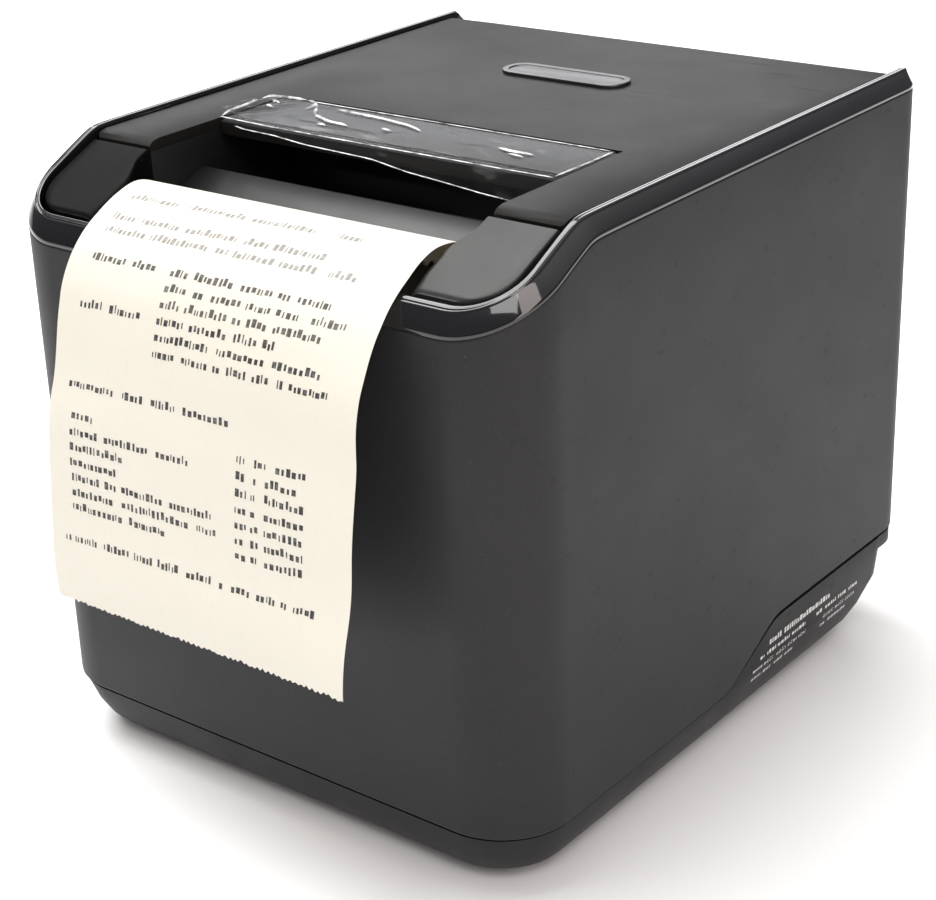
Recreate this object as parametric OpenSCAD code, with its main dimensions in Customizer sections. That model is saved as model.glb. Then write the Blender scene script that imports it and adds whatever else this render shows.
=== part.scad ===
// Compact receipt printer for 80 mm thermal paper, shown with its cover shut
// and a printed strip hanging over the front.  Front is -Y, up is +Z.

/* [Case] */
// Width of the case
body_w = 130; // [128:0.5:134]
// Depth of the case, front face to rear face
body_d = 154; // [152:1:160]
// Height to the top of the cover
body_h = 131.8; // [131:0.2:134]
// Corner radius at the front
r_front = 16; // [10:1:18]
// Corner radius at the rear
r_rear = 9; // [6:1:12]
// Wall thickness of the upper case
wall = 2.4; // [1.6:0.2:3]
// Slope of the front panels, rise over run
panel_slope = 0.45; // [0.42:0.01:0.48]

/* [Seam] */
// Height of the seam between base and upper case at the front
seam_front = 13.8; // [12:0.2:15]
// Height of the same seam at the rear
seam_rear = 24.2; // [22:0.2:26]

/* [Paper] */
// Width of the paper
paper_w = 79.5; // [57.5:0.5:79.5]
// Radius of the paper roll
roll_r = 38; // [20:1:38]
// Drawn thickness of the paper
paper_t = 0.3; // [0.2:0.05:0.4]

/* [Drive] */
// Platen radius
platen_r = 6; // [5.9:0.1:6]
// Gear module
gear_m = 0.8; // [0.8:0.1:0.8]
// Teeth on the platen gear
z_platen = 20; // [20:2:20]
// Teeth on the idler gear
z_idler = 28; // [28:2:28]
// Teeth on the motor pinion
z_pinion = 12; // [12:2:12]
// Teeth on the cutter pinion
z_cutter = 22; // [22:2:22]

/* [Hidden] */
$fn = 64;

hw = body_w/2;
yf = -body_d/2;
yb = body_d/2;
// The row origin is the middle of the whole box, strip included
strip_out = 95.25;
y_shift = (strip_out + yf)/2;
// Hinge axis of the cover
hy = 67.6; hz = 124.4;
lid_r = body_h - hz;
lid_hw = 59.4;
lid_yf = -52.2;
// Mouth of the scoop in the cover
mouth = 43.9;
mouth_yb = -10.2;
// Inner edge and hinge axis of the two keys
key_in = 43.3;
key_y = -54.8; key_z = 123.2;
// Flap hinge
fy = -13.4; fz = 128.4;
// Platen axis and the tilt of head and cutter
py = -36; pz = 104; tilt = 25;
// Roll axis
ry = 28; rz = 60;
// Gear line: platen, idler and pinion axes lie on one line
m_dir = atan2(-32, -16);
d1 = gear_m*(z_platen + z_idler)/2 + 0.15;
d2 = gear_m*(z_pinion + z_idler)/2 + 0.15;
iy = py + d1*cos(m_dir); iz = pz + d1*sin(m_dir);
my = iy + d2*cos(m_dir); mz = iz + d2*sin(m_dir);
gear_x = 50.8; gear_w = 4;
// Cutter drive in the tilted frame
cy = -21.8; rack_z = 12.8;
cr = gear_m*z_cutter/2;
cz = rack_z - cr - 0.15;

// Height lost towards the front, a flat that runs smoothly into a slope
function drop(y, y0, k) = let(u = k*(y0 - y)) 0.5*(u + sqrt(u*u + 0.8));
function z_case(y) = 128.8 - drop(y, -51.3, panel_slope + 0.07);
function z_rim(y) = 132.6 - drop(y, -51.2, panel_slope + 0.05) - (y > 72 ? 3*pow(min(1, (y - 72)/3.6), 2)*(3 - 2*min(1, (y - 72)/3.6)) : 0);
function z_panel(y) = 131.4 - drop(y, -51.6, panel_slope);
function z_seam(y) = seam_front + (seam_rear - seam_front)*(sqrt((y + 2.2)*(y + 2.2) + 3) - sqrt((y - 17)*(y - 17) + 3) + 19.2)/38.4;

// Height of the top of the tilted cutter housing
function housing_top(y) = pz + 17/cos(tilt) + (y - py)*tan(tilt);

// Corner points of a rounded rectangle, the same count for every loop
function arc(cx, cy, r, a0, n) = [for (i = [0:n]) [cx + r*cos(a0 + 90*i/n), cy + r*sin(a0 + 90*i/n)]];
function side_pts(x, ya, yb, n) = [for (i = [1:n - 1]) [x, ya + (yb - ya)*i/n]];
function loop(x, y0, y1, rf, rr, n) = concat(
  arc(x - rr, y1 - rr, rr, 0, n),
  arc(-x + rr, y1 - rr, rr, 90, n),
  side_pts(-x, y1 - rr, y0 + rf, 34),
  arc(-x + rf, y0 + rf, rf, 180, n),
  arc(x - rf, y0 + rf, rf, 270, n),
  side_pts(x, y0 + rf, y1 - rr, 34));

module plan(x, y0, y1, rf, rr) {
  union() {
    translate([-x, y0 + rf]) square([2*x, y1 - y0 - rf - rr]);
    translate([-x + rf, y0]) square([2*x - 2*rf, rf + 1]);
    translate([-x + rr, y1 - rr - 1]) square([2*x - 2*rr, rr + 1]);
    for (s = [-1, 1]) {
      translate([s*(x - rf), y0 + rf]) circle(rf);
      translate([s*(x - rr), y1 - rr]) circle(rr);
    }
  }
}
// Shape drawn in the Y-Z plane and pushed along X
module yz(x0, x1) { translate([x0, 0, 0]) rotate([90, 0, 90]) linear_extrude(x1 - x0) children(); }
module xrod(x0, x1, y, z, r) { translate([x0, y, z]) rotate([0, 90, 0]) cylinder(h = x1 - x0, r = r); }
module box(a, b) { translate(a) cube(b - a); }
// Frame of the print head and cutter, its -Y across the paper and +Z along it
module tilted() { translate([0, py, pz]) rotate([tilt, 0, 0]) children(); }

// Spur gear with straight-flanked teeth and running backlash
function gear_pts(z, m) = let(r = m*z/2, ro = r + 0.85*m, ri = r - 1.15*m, p = 360/z)
  [for (i = [0:z - 1]) each [
    [ri*cos((i - 0.33)*p), ri*sin((i - 0.33)*p)],
    [r*cos((i - 0.21)*p), r*sin((i - 0.21)*p)],
    [ro*cos((i - 0.09)*p), ro*sin((i - 0.09)*p)],
    [ro*cos((i + 0.09)*p), ro*sin((i + 0.09)*p)],
    [r*cos((i + 0.21)*p), r*sin((i + 0.21)*p)],
    [ri*cos((i + 0.33)*p), ri*sin((i + 0.33)*p)]]];
module spur(x0, x1, y, z, teeth, turn, bore) {
  difference() {
    yz(x0, x1) translate([y, z]) rotate(turn) polygon(gear_pts(teeth, gear_m));
    xrod(x0 - 1, x1 + 1, y, z, bore);
  }
}

module below_seam(gap) {
  yz(-hw - 5, hw + 5) polygon(concat([[-100, -5]], [[-100, seam_front - gap]],
    [for (y = [-14:1.5:34]) [y, z_seam(y) - gap]], [[100, seam_rear - gap], [100, -5]]));
}

module slice(z, x, y0, y1, rf, rr) { translate([0, 0, z]) linear_extrude(0.2) plan(x, y0, y1, rf, rr, $fn = 72); }

module base_tray() color([0.07, 0.07, 0.075]) {
  difference() {
    union() {
      intersection() {
        below_seam(0.5);
        union() {
          hull() {
            slice(3, hw - 5.4, yf + 5.8, 62, 13, 9);
            slice(4.6, hw - 3.9, yf + 4.1, 65, 14, 10);
            slice(8, hw - 2.2, yf + 2.2, 67.5, 15, 10);
            slice(14, hw - 0.4, yf + 0.2, 70.5, 16, 9);
            slice(24, hw, yf, 72.5, 16, 9);
          }
          translate([0, 0, 20.6]) intersection() {
            linear_extrude(5) plan(hw - 0.22, yf, yb - 0.22, r_front, r_rear);
            box([-80, 30, 0], [80, 90, 5]);
          }
        }
      }
      // Tongue that stands inside the upper case
      intersection() {
        difference() {
          linear_extrude(27) plan(hw - wall - 0.1, yf + wall + 0.1, yb - wall - 0.1, r_front - 2.5, r_rear - 2.5);
          translate([0, 0, -1]) linear_extrude(30) plan(hw - wall - 1.4, yf + wall + 1.4, yb - wall - 1.4, r_front - 3.8, r_rear - 3.8);
        }
        difference() { below_seam(-2); translate([0, 0, -3]) below_seam(0.5); }
      }
    }
    // Inside of the tray
    translate([0, 0, 5.5]) linear_extrude(6) plan(56.8, yf + 8.5, 55.6, 11, 3);
    translate([0, 0, 10]) linear_extrude(30) plan(hw - wall - 1.4, yf + wall + 1.4, 55.6, r_front - 3.8, 3);
    // Room for the plugs under the rear overhang
    box([-46, 57.6, -1], [46, 90, 22.4]);
    // Ports through the rear wall
    box([-41.2, 50, 10.6], [-26.8, 60, 22.2]);
    box([-21.2, 50, 10.6], [-8.8, 60, 21.4]);
    box([-5.2, 50, 10.6], [26.2, 60, 22.2]);
    box([28.8, 50, 10.6], [42.2, 60, 22.2]);
    // Screw wells and foot sockets
    for (s = [-1, 1]) {
      for (y = [-62, 52]) {
        translate([s*54, y, -1]) cylinder(h = 20, r = 1.7);
        translate([s*54, y, -1]) cylinder(h = 5.4, r = 3.4);
      }
      for (y = [-52, 40]) translate([s*44, y, 2]) cylinder(h = 3, r = 2.05);
    }
  }
  // Posts for the case screws
  for (s = [-1, 1]) for (y = [-62, 52]) difference() {
    translate([s*54, y, 5.4]) cylinder(h = y < 0 ? 9 : 19, r = 3.4);
    translate([s*54, y, 4]) cylinder(h = 30, r = 1.7);
  }
  // Standoffs for the main board
  for (s = [-1, 1]) for (y = [-56, 44]) translate([s*40, y, 5.4]) cylinder(h = 3.6, r = 3);
}

module rubber_feet() color([0.12, 0.12, 0.12]) {
  for (s = [-1, 1]) for (y = [-52, 40]) {
    translate([s*44, y, 0]) rotate_extrude() polygon([[0, 0], [5.2, 0], [6, 0.8], [6, 3], [0, 3]]);
    translate([s*44, y, 3]) cylinder(h = 1.9, r = 2);
  }
}

module case_screws() color([0.6, 0.6, 0.62]) {
  for (s = [-1, 1]) for (y = [-62, 52]) difference() {
    union() {
      translate([s*54, y, 3.2]) cylinder(h = 1.2, r = 2.9);
      translate([s*54, y, 4.3]) cylinder(h = y < 0 ? 22 : 30, r = 1.5);
    }
    translate([s*54, y, 3.2]) rotate(20) cube([0.7, 3.6, 1.4], center = true);
    translate([s*54, y, 3.2]) rotate(110) cube([0.7, 3.6, 1.4], center = true);
  }
}

module main_board() color([0.05, 0.28, 0.14]) {
  difference() {
    box([-48, -66, 9], [48, 52, 10.6]);
    for (s = [-1, 1]) for (y = [-56, 44]) translate([s*40, y, 8]) cylinder(h = 4, r = 1.6);
  }
}

module board_components() color([0.12, 0.12, 0.13]) {
  box([-14, -20, 10.6], [6, 0, 12.2]);
  box([14, -14, 10.6], [26, -4, 12]);
  box([-34, -8, 10.6], [-24, 10, 12.4]);
  box([16, 8, 10.6], [30, 16, 12.2]);
  box([-30, -48, 10.6], [-8, -42, 15.6]);
  box([4, -48, 10.6], [22, -42, 15.6]);
  for (p = [[-38, -24], [-38, -36], [36, -20], [36, -34]]) translate([p[0], p[1], 10.6]) cylinder(h = 9, r = 4);
  translate([30, -52, 10.6]) cylinder(h = 6, r = 6);
  for (x = [-20:8:20]) box([x, 22, 10.6], [x + 3, 24, 11.6]);
}

// Ports: each stands on the rear edge of the main board and looks out at the back
module power_inlet() color([0.06, 0.06, 0.06]) {
  difference() {
    box([-41, 44, 10.6], [-27, 58.6, 22]);
    translate([-34, 50, 16.2]) rotate([-90, 0, 0]) cylinder(h = 20, r = 4.5);
  }
  for (a = [90, 210, 330]) translate([-34 + 2.2*cos(a), 49, 16.2 + 2.2*sin(a)]) rotate([-90, 0, 0]) cylinder(h = 7, r = 0.6);
}
module usb_port() color([0.75, 0.75, 0.77]) {
  difference() {
    box([-21, 44, 10.6], [-9, 58.4, 21.2]);
    box([-19.2, 49, 12.2], [-10.8, 70, 19.8]);
  }
  box([-17.6, 48, 14.6], [-12.4, 57, 17.4]);
}
module serial_port() color([0.7, 0.7, 0.73]) {
  difference() {
    box([-5, 46, 10.6], [26, 58, 22]);
    box([1.5, 52, 12.2], [19.5, 70, 20.4]);
    for (x = [-2, 23]) translate([x, 50, 16.2]) rotate([-90, 0, 0]) cylinder(h = 20, r = 1.5);
  }
  difference() {
    box([2.2, 51, 12.8], [18.8, 60.5, 19.8]);
    box([3, 53, 13.6], [18, 70, 19]);
  }
}
module drawer_port() color([0.08, 0.08, 0.08]) {
  difference() {
    box([29, 44, 10.6], [42, 58.6, 22]);
    box([30.8, 47, 12.4], [40.2, 70, 18.4]);
    box([33, 47, 18.2], [38, 70, 20.4]);
  }
}

module upper_case() color([0.16, 0.16, 0.17]) {
  difference() {
    intersection() {
      difference() {
        translate([0, 0, 10]) linear_extrude(122) plan(hw, yf, yb, r_front, r_rear);
        translate([0, 0, 9]) linear_extrude(124) plan(hw - wall, yf + wall, yb - wall, r_front - wall, r_rear - wall);
      }
      yz(-hw - 5, hw + 5) polygon(concat(
        [for (y = [80:-4:-40]) [y, z_case(y)]], [for (y = [-42:-1:-60]) [y, z_case(y)]], [[-80, z_case(-80)]],
        [[-80, seam_front]], [for (y = [-14:1.5:34]) [y, z_seam(y)]], [[80, seam_rear]]));
    }
    // Thin rear wall where the cover turns
    translate([0, 0, 116]) linear_extrude(20) plan(hw - wall, 0, yb - 1.2, 6, 4.5);
  }
  // Screw bosses with ribs to the side walls
  for (s = [-1, 1]) for (y = [-62, 52]) {
    difference() {
      union() {
        translate([s*54, y, y < 0 ? 14.4 : 24.4]) cylinder(h = 20, r = 3.4);
        translate([s*58.4, y, (y < 0 ? 14.4 : 24.4) + 11.6]) cube([9, 1.6, 16.8], center = true);
      }
      translate([s*54, y, 10]) cylinder(h = 27, r = 1.5);
    }
  }
  // Ledges that carry the key boards
  for (s = [-1, 1]) translate([s*(hw - wall - 1.2), -59.8, 107.2]) cube([2.6, 5, 1.6], center = true);
}

// Glossy rim: a closed ring whose section follows the sloping top edge
module top_bezel() color([0.03, 0.03, 0.035]) {
  n = 10;
  a = loop(hw, yf, yb, r_front, r_rear, n);
  b = loop(hw - 2.7, yf + 1.6, yb - 0.6, r_front - 3, 5, n);
  c = loop(hw - 4.4, yf + 3, yb - 1.5, r_front - 5.6, 2.2, n);
  d = loop(hw - wall, yf + wall, yb - 1.2, r_front - wall, 4.5, n);
  m = len(a);
  // Rings from the outside bottom round the section to the inside bottom
  r0 = [for (i = [0:m - 1]) [a[i][0], a[i][1], z_case(a[i][1]) + 0.02]];
  r1 = [for (i = [0:m - 1]) [a[i][0], a[i][1], z_case(a[i][1]) + 0.5]];
  r2 = [for (i = [0:m - 1]) [b[i][0], b[i][1], z_rim(b[i][1]) - 0.35]];
  r3 = [for (i = [0:m - 1]) [(b[i][0] + 0.12*(c[i][0] - b[i][0])), (b[i][1] + 0.12*(c[i][1] - b[i][1])), z_rim(b[i][1]) - 0.08]];
  r4 = [for (i = [0:m - 1]) [c[i][0], c[i][1], z_rim(c[i][1])]];
  r5 = [for (i = [0:m - 1]) [c[i][0], c[i][1], z_case(c[i][1]) - 1.6]];
  r6 = [for (i = [0:m - 1]) [d[i][0], d[i][1], z_case(d[i][1]) - 1.6]];
  r7 = [for (i = [0:m - 1]) [d[i][0], d[i][1], z_case(d[i][1]) + 0.02]];
  k = 8;
  polyhedron(points = concat(r0, r1, r2, r3, r4, r5, r6, r7),
    faces = [for (j = [0:k - 1]) for (i = [0:m - 1]) let(i2 = (i + 1)%m, j2 = (j + 1)%k)
      each [[j*m + i, j2*m + i, j2*m + i2], [j*m + i, j2*m + i2, j*m + i2]]], convexity = 8);
}

module hinge_brackets() color([0.1, 0.1, 0.1]) {
  for (s = [-1, 1]) difference() {
    intersection() {
      box([s > 0 ? 60 : -62.6, hy - 3.5, 108], [s > 0 ? 62.6 : -60, hy + 3.5, 127.1]);
      translate([0, 0, 100]) linear_extrude(30) plan(hw - wall, 0, yb - wall, 6, r_rear - wall);
    }
    xrod(s > 0 ? 59 : -63, s > 0 ? 63 : -59, hy, hz, 1.5);
  }
}
module hinge_pins() color([0.7, 0.7, 0.72]) {
  for (s = [-1, 1]) xrod(s > 0 ? 50 : -62.5, s > 0 ? 62.5 : -50, hy, hz, 1.5);
}

module lid() color([0.25, 0.24, 0.24]) {
  difference() {
    intersection() {
      translate([0, 0, 110]) linear_extrude(30) plan(lid_hw, lid_yf, hy + lid_r, 1.2, 8);
      union() {
        yz(-lid_hw, lid_hw) polygon(concat([[-60, 129.4], [-60, 130.6], [-52.2, 130.6], [-51.2, 131.4], [-49.5, body_h], [hy, body_h], [hy, 129.4]]));
        difference() {
          xrod(-lid_hw, lid_hw, hy, hz, lid_r);
          box([-70, hy - 10, 100], [70, hy - 3.4, 140]);
          box([-70, hy - 10, 100], [70, hy + 10, hz - 3.6]);
        }
        // Side skirts
        for (s = [-1, 1]) box([s > 0 ? lid_hw - 2 : -lid_hw, lid_yf + 0.2, 124], [s > 0 ? lid_hw : -lid_hw + 2, hy, 130]);
      }
    }
    box([-mouth, lid_yf - 3, 120], [mouth, mouth_yb, 140]);
    // Bores for the hinge pins
    for (s = [-1, 1]) xrod(s > 0 ? 49 : -64, s > 0 ? 64 : -49, hy, hz, 1.56);
    // Hollow between the hinge knuckles
    box([-44, hy - 4, 110], [44, hy + 3.6, 129.4]);
    // Shallow step round the rear tab
    box([-21, hy + 3, body_h - 1.6], [20, hy + 8, body_h + 1]);
  }
}

// Dark scoop below the cover: finger recess, ledge and paper guide
module lid_scoop() color([0.06, 0.06, 0.065]) {
  yz(-mouth, mouth) polygon([[-9.2, 129.4], [-9.2, 117], [-13, 113], [-25.5, 112.4], [-28.6, 119], [-29.6, 119.7], [-35, 119.9], [-35.9, 120.6],
    [-36.5, 122.2], [-37.1, 122.8], [-38, 122.9], [-46.6, 119.9], [-47.3, 119.2], [-46.8, 118.6], [-46.2, 118.6], [-38.9, 121.4], [-37.9, 121.3],
    [-37.2, 119.2], [-36, 118.6], [-31.6, 118.5], [-30, 118], [-27, 110.6], [-12.4, 111.2], [-7.2, 116.4], [-7.2, 129.4]]);
}

// Side walls of the scoop, and the cheeks that carry the platen and the latch shaft
module scoop_cheeks() color([0.06, 0.06, 0.065]) {
  for (s = [-1, 1]) difference() {
    yz(s > 0 ? mouth : -mouth - 1.6, s > 0 ? mouth + 1.6 : -mouth) polygon([[-7.2, 129.4], [-7.2, 108], [-44, 108], [-48, 114.6], [-51.8, 121.2], [-51.8, 129.4]]);
    xrod(s > 0 ? mouth - 1 : -mouth - 3, s > 0 ? mouth + 3 : -mouth + 1, fy, fz, 0.85);
    xrod(s > 0 ? 42 : -48, s > 0 ? 48 : -42, -20, 106, 2.5);
  }
  for (s = [-1, 1]) difference() {
    yz(s > 0 ? mouth + 1.6 : -47.6, s > 0 ? 47.6 : -mouth - 1.6) polygon([[-12, 129.4], [-12, 101], [-26, 101], [-30, 98.6], [-41.4, 98.6], [-42.4, 104], [-44, 129.4]]);
    xrod(s > 0 ? 44 : -48, s > 0 ? 48 : -44, py, pz, 3.2);
    xrod(s > 0 ? 44 : -48, s > 0 ? 48 : -44, -20, 106, 2.05);
  }
}

module release_flap() color([0.1, 0.1, 0.105]) {
  difference() {
    union() {
      yz(-mouth + 0.4, mouth - 0.4) polygon([[-11.6, 131.6], [-30.4, 131.6], [-31.4, 131.1], [-31.6, 128.4], [-29.8, 128.2], [-29, 129.6], [-16.2, 129.6], [-15.4, 126.8], [-10.9, 126.8], [-10.9, 130.2]]);
    }
    xrod(-50, 50, fy, fz, 0.8);
    box([-8, -16, 120], [8, -10.8, 130.4]);
  }
}
module flap_pin() color([0.7, 0.7, 0.72]) xrod(-mouth - 1.4, mouth + 1.4, fy, fz, 0.8);
module flap_spring() color([0.65, 0.65, 0.66]) {
  for (i = [0:5]) translate([-4.6 + 1.6*i, fy, fz]) rotate([0, 90, 0]) rotate_extrude($fn = 40) translate([1.4, 0]) circle(0.3, $fn = 16);
  box([3.1, fy - 1.7, 122.6], [3.7, fy - 1.1, fz]);
}
module latch_shaft() color([0.68, 0.68, 0.7]) xrod(-58, 58, -20, 106, 2);
module latch_hooks() color([0.55, 0.55, 0.57]) {
  for (s = [-1, 1]) difference() {
    yz(s > 0 ? 56 : -58, s > 0 ? 58 : -56) polygon([[-24, 110], [-16, 110], [-16.4, 103], [-17.9, 96], [-17.9, 88], [-20, 86], [-22, 88], [-23.4, 102]]);
    xrod(s > 0 ? 55 : -59, s > 0 ? 59 : -55, -20, 106, 2);
  }
}
module latch_pins() color([0.7, 0.7, 0.72]) {
  for (s = [-1, 1]) xrod(s > 0 ? 50 : -58.6, s > 0 ? 58.6 : -50, -16, 91, 1.4);
}

module top_badge() color([0.8, 0.8, 0.82]) {
  translate([0, 33, body_h]) difference() {
    linear_extrude(0.7) plan(16, -4.6, 4.6, 4.2, 4.2);
    translate([0, 0, 0.4]) linear_extrude(1) plan(14.6, -3.2, 3.2, 2.9, 2.9);
  }
}

// Sloping key at a front corner, hinged along its rear edge
module key_shape(s) {
  intersection() {
    translate([0, 0, 100]) linear_extrude(40) {
      union() {
        translate([s > 0 ? key_in : -59, -64.3]) square([59 - key_in, 11.4]);
        translate([s > 0 ? key_in : -50.6, -72.8]) square([50.6 - key_in, 8.8]);
        translate([s*50.5, -64.3]) circle(8.5);
      }
    }
    union() {
      yz(s > 0 ? key_in : -59.2, s > 0 ? 59.2 : -key_in) polygon(concat(
        [for (y = [-52.8:-1.5:-73.8]) [y, z_panel(y)]], [for (y = [-73.8:1.5:-52.8]) [y, z_panel(y) - 2.2]]));
      // Inner flank beside the paper channel
      yz(s > 0 ? key_in : -key_in - 1.8, s > 0 ? key_in + 1.8 : -key_in) polygon([[-52.9, 129], [-52.9, 121.6], [-72.8, 119.2], [-72.8, 121.5], [-60, 127]]);
    }
  }
  translate([s*56, -64, 114.6]) cylinder(h = 9.4, r = 1.6);
  // Hinge barrel below the rear edge
  difference() {
    union() {
      xrod(s > 0 ? 46 : -58, s > 0 ? 58 : -46, key_y, key_z, 1.5);
      box([s > 0 ? 46 : -58, key_y - 1.5, key_z], [s > 0 ? 58 : -46, key_y + 0.2, key_z + 5]);
    }
    xrod(s > 0 ? 45 : -59, s > 0 ? 59 : -45, key_y, key_z, 0.85);
  }
}
module feed_key() color([0.3, 0.3, 0.3]) key_shape(1);
module power_key() color([0.2, 0.2, 0.2]) key_shape(-1);

module key_pins() color([0.7, 0.7, 0.72]) {
  for (s = [-1, 1]) {
    xrod(s > 0 ? 45.2 : -62.6, s > 0 ? 62.6 : -45.2, key_y, key_z, 0.8);
    xrod(s > 0 ? 59.4 : -62.6, s > 0 ? 62.6 : -59.4, key_y, key_z, 1.6);
  }
}

module key_boards() color([0.05, 0.28, 0.14]) {
  for (s = [-1, 1]) {
    box([s > 0 ? 51 : -60.4, -67.6, 108], [s > 0 ? 60.4 : -51, -57.6, 109.4]);
    box([s > 0 ? 53 : -59, -67, 109.4], [s > 0 ? 59 : -53, -61, 113]);
    translate([s*56, -64, 113]) cylinder(h = 0.9, r = 1.7);
  }
}

// Fixed channel under the strip, between the two keys
module front_chute() color([0.08, 0.08, 0.085]) {
  yz(-key_in + 1, key_in - 1) polygon([[-51.6, 117.6], [-53.2, 118.2], [-71.6, 116.9], [-73.2, 117.6], [-73.2, 114.8], [-53.2, 115.8], [-51.6, 114]]);
  // Feet that stand on the cutter housing
  for (s = [-1, 1]) yz(s > 0 ? 36 : -40, s > 0 ? 40 : -36) polygon([[-54, 116], [-54, housing_top(-54)], [-66, housing_top(-66)], [-66, 115.6]]);
}

module tear_bar() color([0.75, 0.75, 0.78]) {
  translate([0, -50.75, 0]) rotate([90, 0, 0]) linear_extrude(0.8) polygon(concat([[42, 114.6]],
    [for (i = [0:27]) each [[42 - 3*i, 117.2], [42 - 3*i - 1.5, 118.8]]], [[-42, 117.2], [-42, 114.6]]));
}

module roll_bucket() color([0.09, 0.09, 0.095]) {
  difference() {
    union() {
      xrod(-42.8, 42.8, ry, rz + 2, 41.9);
      yz(-42.8, 42.8) polygon([[-13.9, 62], [-13.9, 90], [-12.4, 92], [68, 110], [69.9, 110], [69.9, 62]]);
    }
    xrod(-41, 41, ry, rz + 2, 40.3);
    yz(-41, 41) polygon([[-12.3, 62], [-12.3, 120], [68.3, 120], [68.3, 62]]);
    yz(-43, -40) polygon([[0, 122], [0, 84], [56, 84], [56, 122]]);
    yz(40, 43) polygon([[0, 122], [0, 84], [56, 84], [56, 122]]);
    // Window for the near-end sensor
    box([40, 22, 40], [44, 32, 48]);
  }
  for (s = [-1, 1]) box([s > 0 ? 42.8 : -62.6, 6, 58], [s > 0 ? 62.6 : -42.8, 50, 60]);
}
module near_end_sensor() color([0.05, 0.05, 0.05]) {
  box([42.8, 20, 38], [47, 34, 50]);
  box([41.4, 23, 41], [42.8, 31, 47]);
}

module paper_roll() color([0.95, 0.95, 0.92]) difference() {
  xrod(-paper_w/2, paper_w/2, ry, rz, roll_r);
  xrod(-50, 50, ry, rz, 9);
}
module paper_core() color([0.72, 0.6, 0.45]) difference() {
  xrod(-paper_w/2, paper_w/2, ry, rz, 9);
  xrod(-50, 50, ry, rz, 6.5);
}

// Middle line of the strip outside the slot, as hand-set stations
strip = [[-48.4, 115.8], [-49.6, 118.2], [-51.6, 121.6], [-54.4, 124.6], [-58, 126.6], [-62, 127.1], [-66, 126.6], [-70, 125], [-74, 122.6],
  [-77.6, 119.9], [-80.6, 116.5], [-82.9, 112.6], [-84.7, 108.6], [-86.3, 104], [-87.5, 99.3], [-88.5, 94.5], [-89.6, 89.5], [-90.6, 84],
  [-91.4, 78], [-92, 72], [-92.7, 66], [-93.5, 60.5], [-94.3, 55], [-94.9, 49.6], [-95.1, 46.4]];
// Ribbon of even thickness round a line of points
function unit(v) = v/norm(v);
function tan_at(p, i) = unit(p[min(i + 1, len(p) - 1)] - p[max(i - 1, 0)]);
function ribbon(p, t) = concat(
  [for (i = [0:len(p) - 1]) let(d = tan_at(p, i)) p[i] + t/2*[-d[1], d[0]]],
  [for (i = [len(p) - 1:-1:0]) let(d = tan_at(p, i)) p[i] - t/2*[-d[1], d[0]]]);

module receipt_strip() color([0.97, 0.96, 0.9]) yz(-paper_w/2, paper_w/2) polygon(ribbon(strip, paper_t));

// Strip inside: off the top of the roll, under the platen and up through the cutter
web = concat([[ry - 6, rz + roll_r + 0.1], [py + 4, pz - platen_r - 0.3]],
  [for (a = [270:-13:206]) [py + (platen_r + 0.28)*cos(a), pz + (platen_r + 0.28)*sin(a)]],
  [[py - 6.28*cos(25) - 3*sin(25), pz - 6.28*sin(25) + 3*cos(25)], [py - 6.28*cos(25) - 13.4*sin(25), pz - 6.28*sin(25) + 13.4*cos(25)]]);
module paper_web() color([0.96, 0.95, 0.9]) yz(-paper_w/2, paper_w/2) polygon(ribbon(web, 0.24));

module mech_chassis() color([0.62, 0.63, 0.65]) {
  for (s = [-1, 1]) difference() {
    yz(s > 0 ? 48.6 : -50, s > 0 ? 50 : -48.6) polygon([[-71, 10.4], [-68, 10.4], [-68, 5.6], [-14.2, 5.6], [-14.2, 96.4], [-42.6, 96.4], [-50.4, 112.2], [-70, 103], [-71, 100]]);
    xrod(s > 0 ? 48 : -51, s > 0 ? 51 : -48, my, mz, 6);
    xrod(s > 0 ? 48 : -51, s > 0 ? 51 : -48, iy, iz, 2);
    tilted() xrod(s > 0 ? 48 : -51, s > 0 ? 51 : -48, -10.4, -6.6, 1.5);
    yz(s > 0 ? 48 : -51, s > 0 ? 51 : -48) translate([-42, 40]) circle(11);
  }
  box([-48.6, -71, 34], [48.6, -69.6, 52]);
  box([-48.6, -17.4, 60], [48.6, -16, 84]);
  // Spring seat behind the print head
  tilted() box([2, -20.4, 0], [48.6, -19, 10]);
}

module print_head() color([0.85, 0.85, 0.83]) tilted() difference() {
  union() {
    box([-42, -7.9, -5], [42, -6.55, 9]);
    xrod(-40, 40, -6.62, 0, 0.12);
  }
}
module head_heatsink() color([0.75, 0.76, 0.78]) tilted() difference() {
  union() {
    box([-42, -10.4, -5], [42, -7.9, 9]);
    box([-42, -12.8, -9], [42, -8.4, -4.4]);
    for (x = [-41:6:37]) box([x, -11.4, -4.4], [x + 2, -10.3, 9]);
  }
  xrod(-50, 50, -10.4, -6.6, 1.55);
}
module head_pivot() color([0.7, 0.7, 0.72]) tilted() xrod(-50, 50, -10.4, -6.6, 1.5);
module coil(y0, y1, r, t, n) {
  for (i = [0:n - 1]) translate([0, y0 + t + (y1 - y0 - 2*t)*i/(n - 1), 0]) rotate([90, 0, 0]) rotate_extrude($fn = 40) translate([r, 0]) circle(t, $fn = 16);
}
module head_springs() color([0.65, 0.65, 0.66]) tilted() for (x = [12, 40]) translate([x, 0, 5.5]) coil(-19, -12.3, 2.6, 0.4, 7);
module head_cable() color([0.85, 0.85, 0.8]) yz(-18, 2) polygon(ribbon([[-38.6, 92.2], [-36, 86], [-33, 74], [-32, 50], [-32, 24], [-30, 15.8], [-30, 11]], 0.4));

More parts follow.
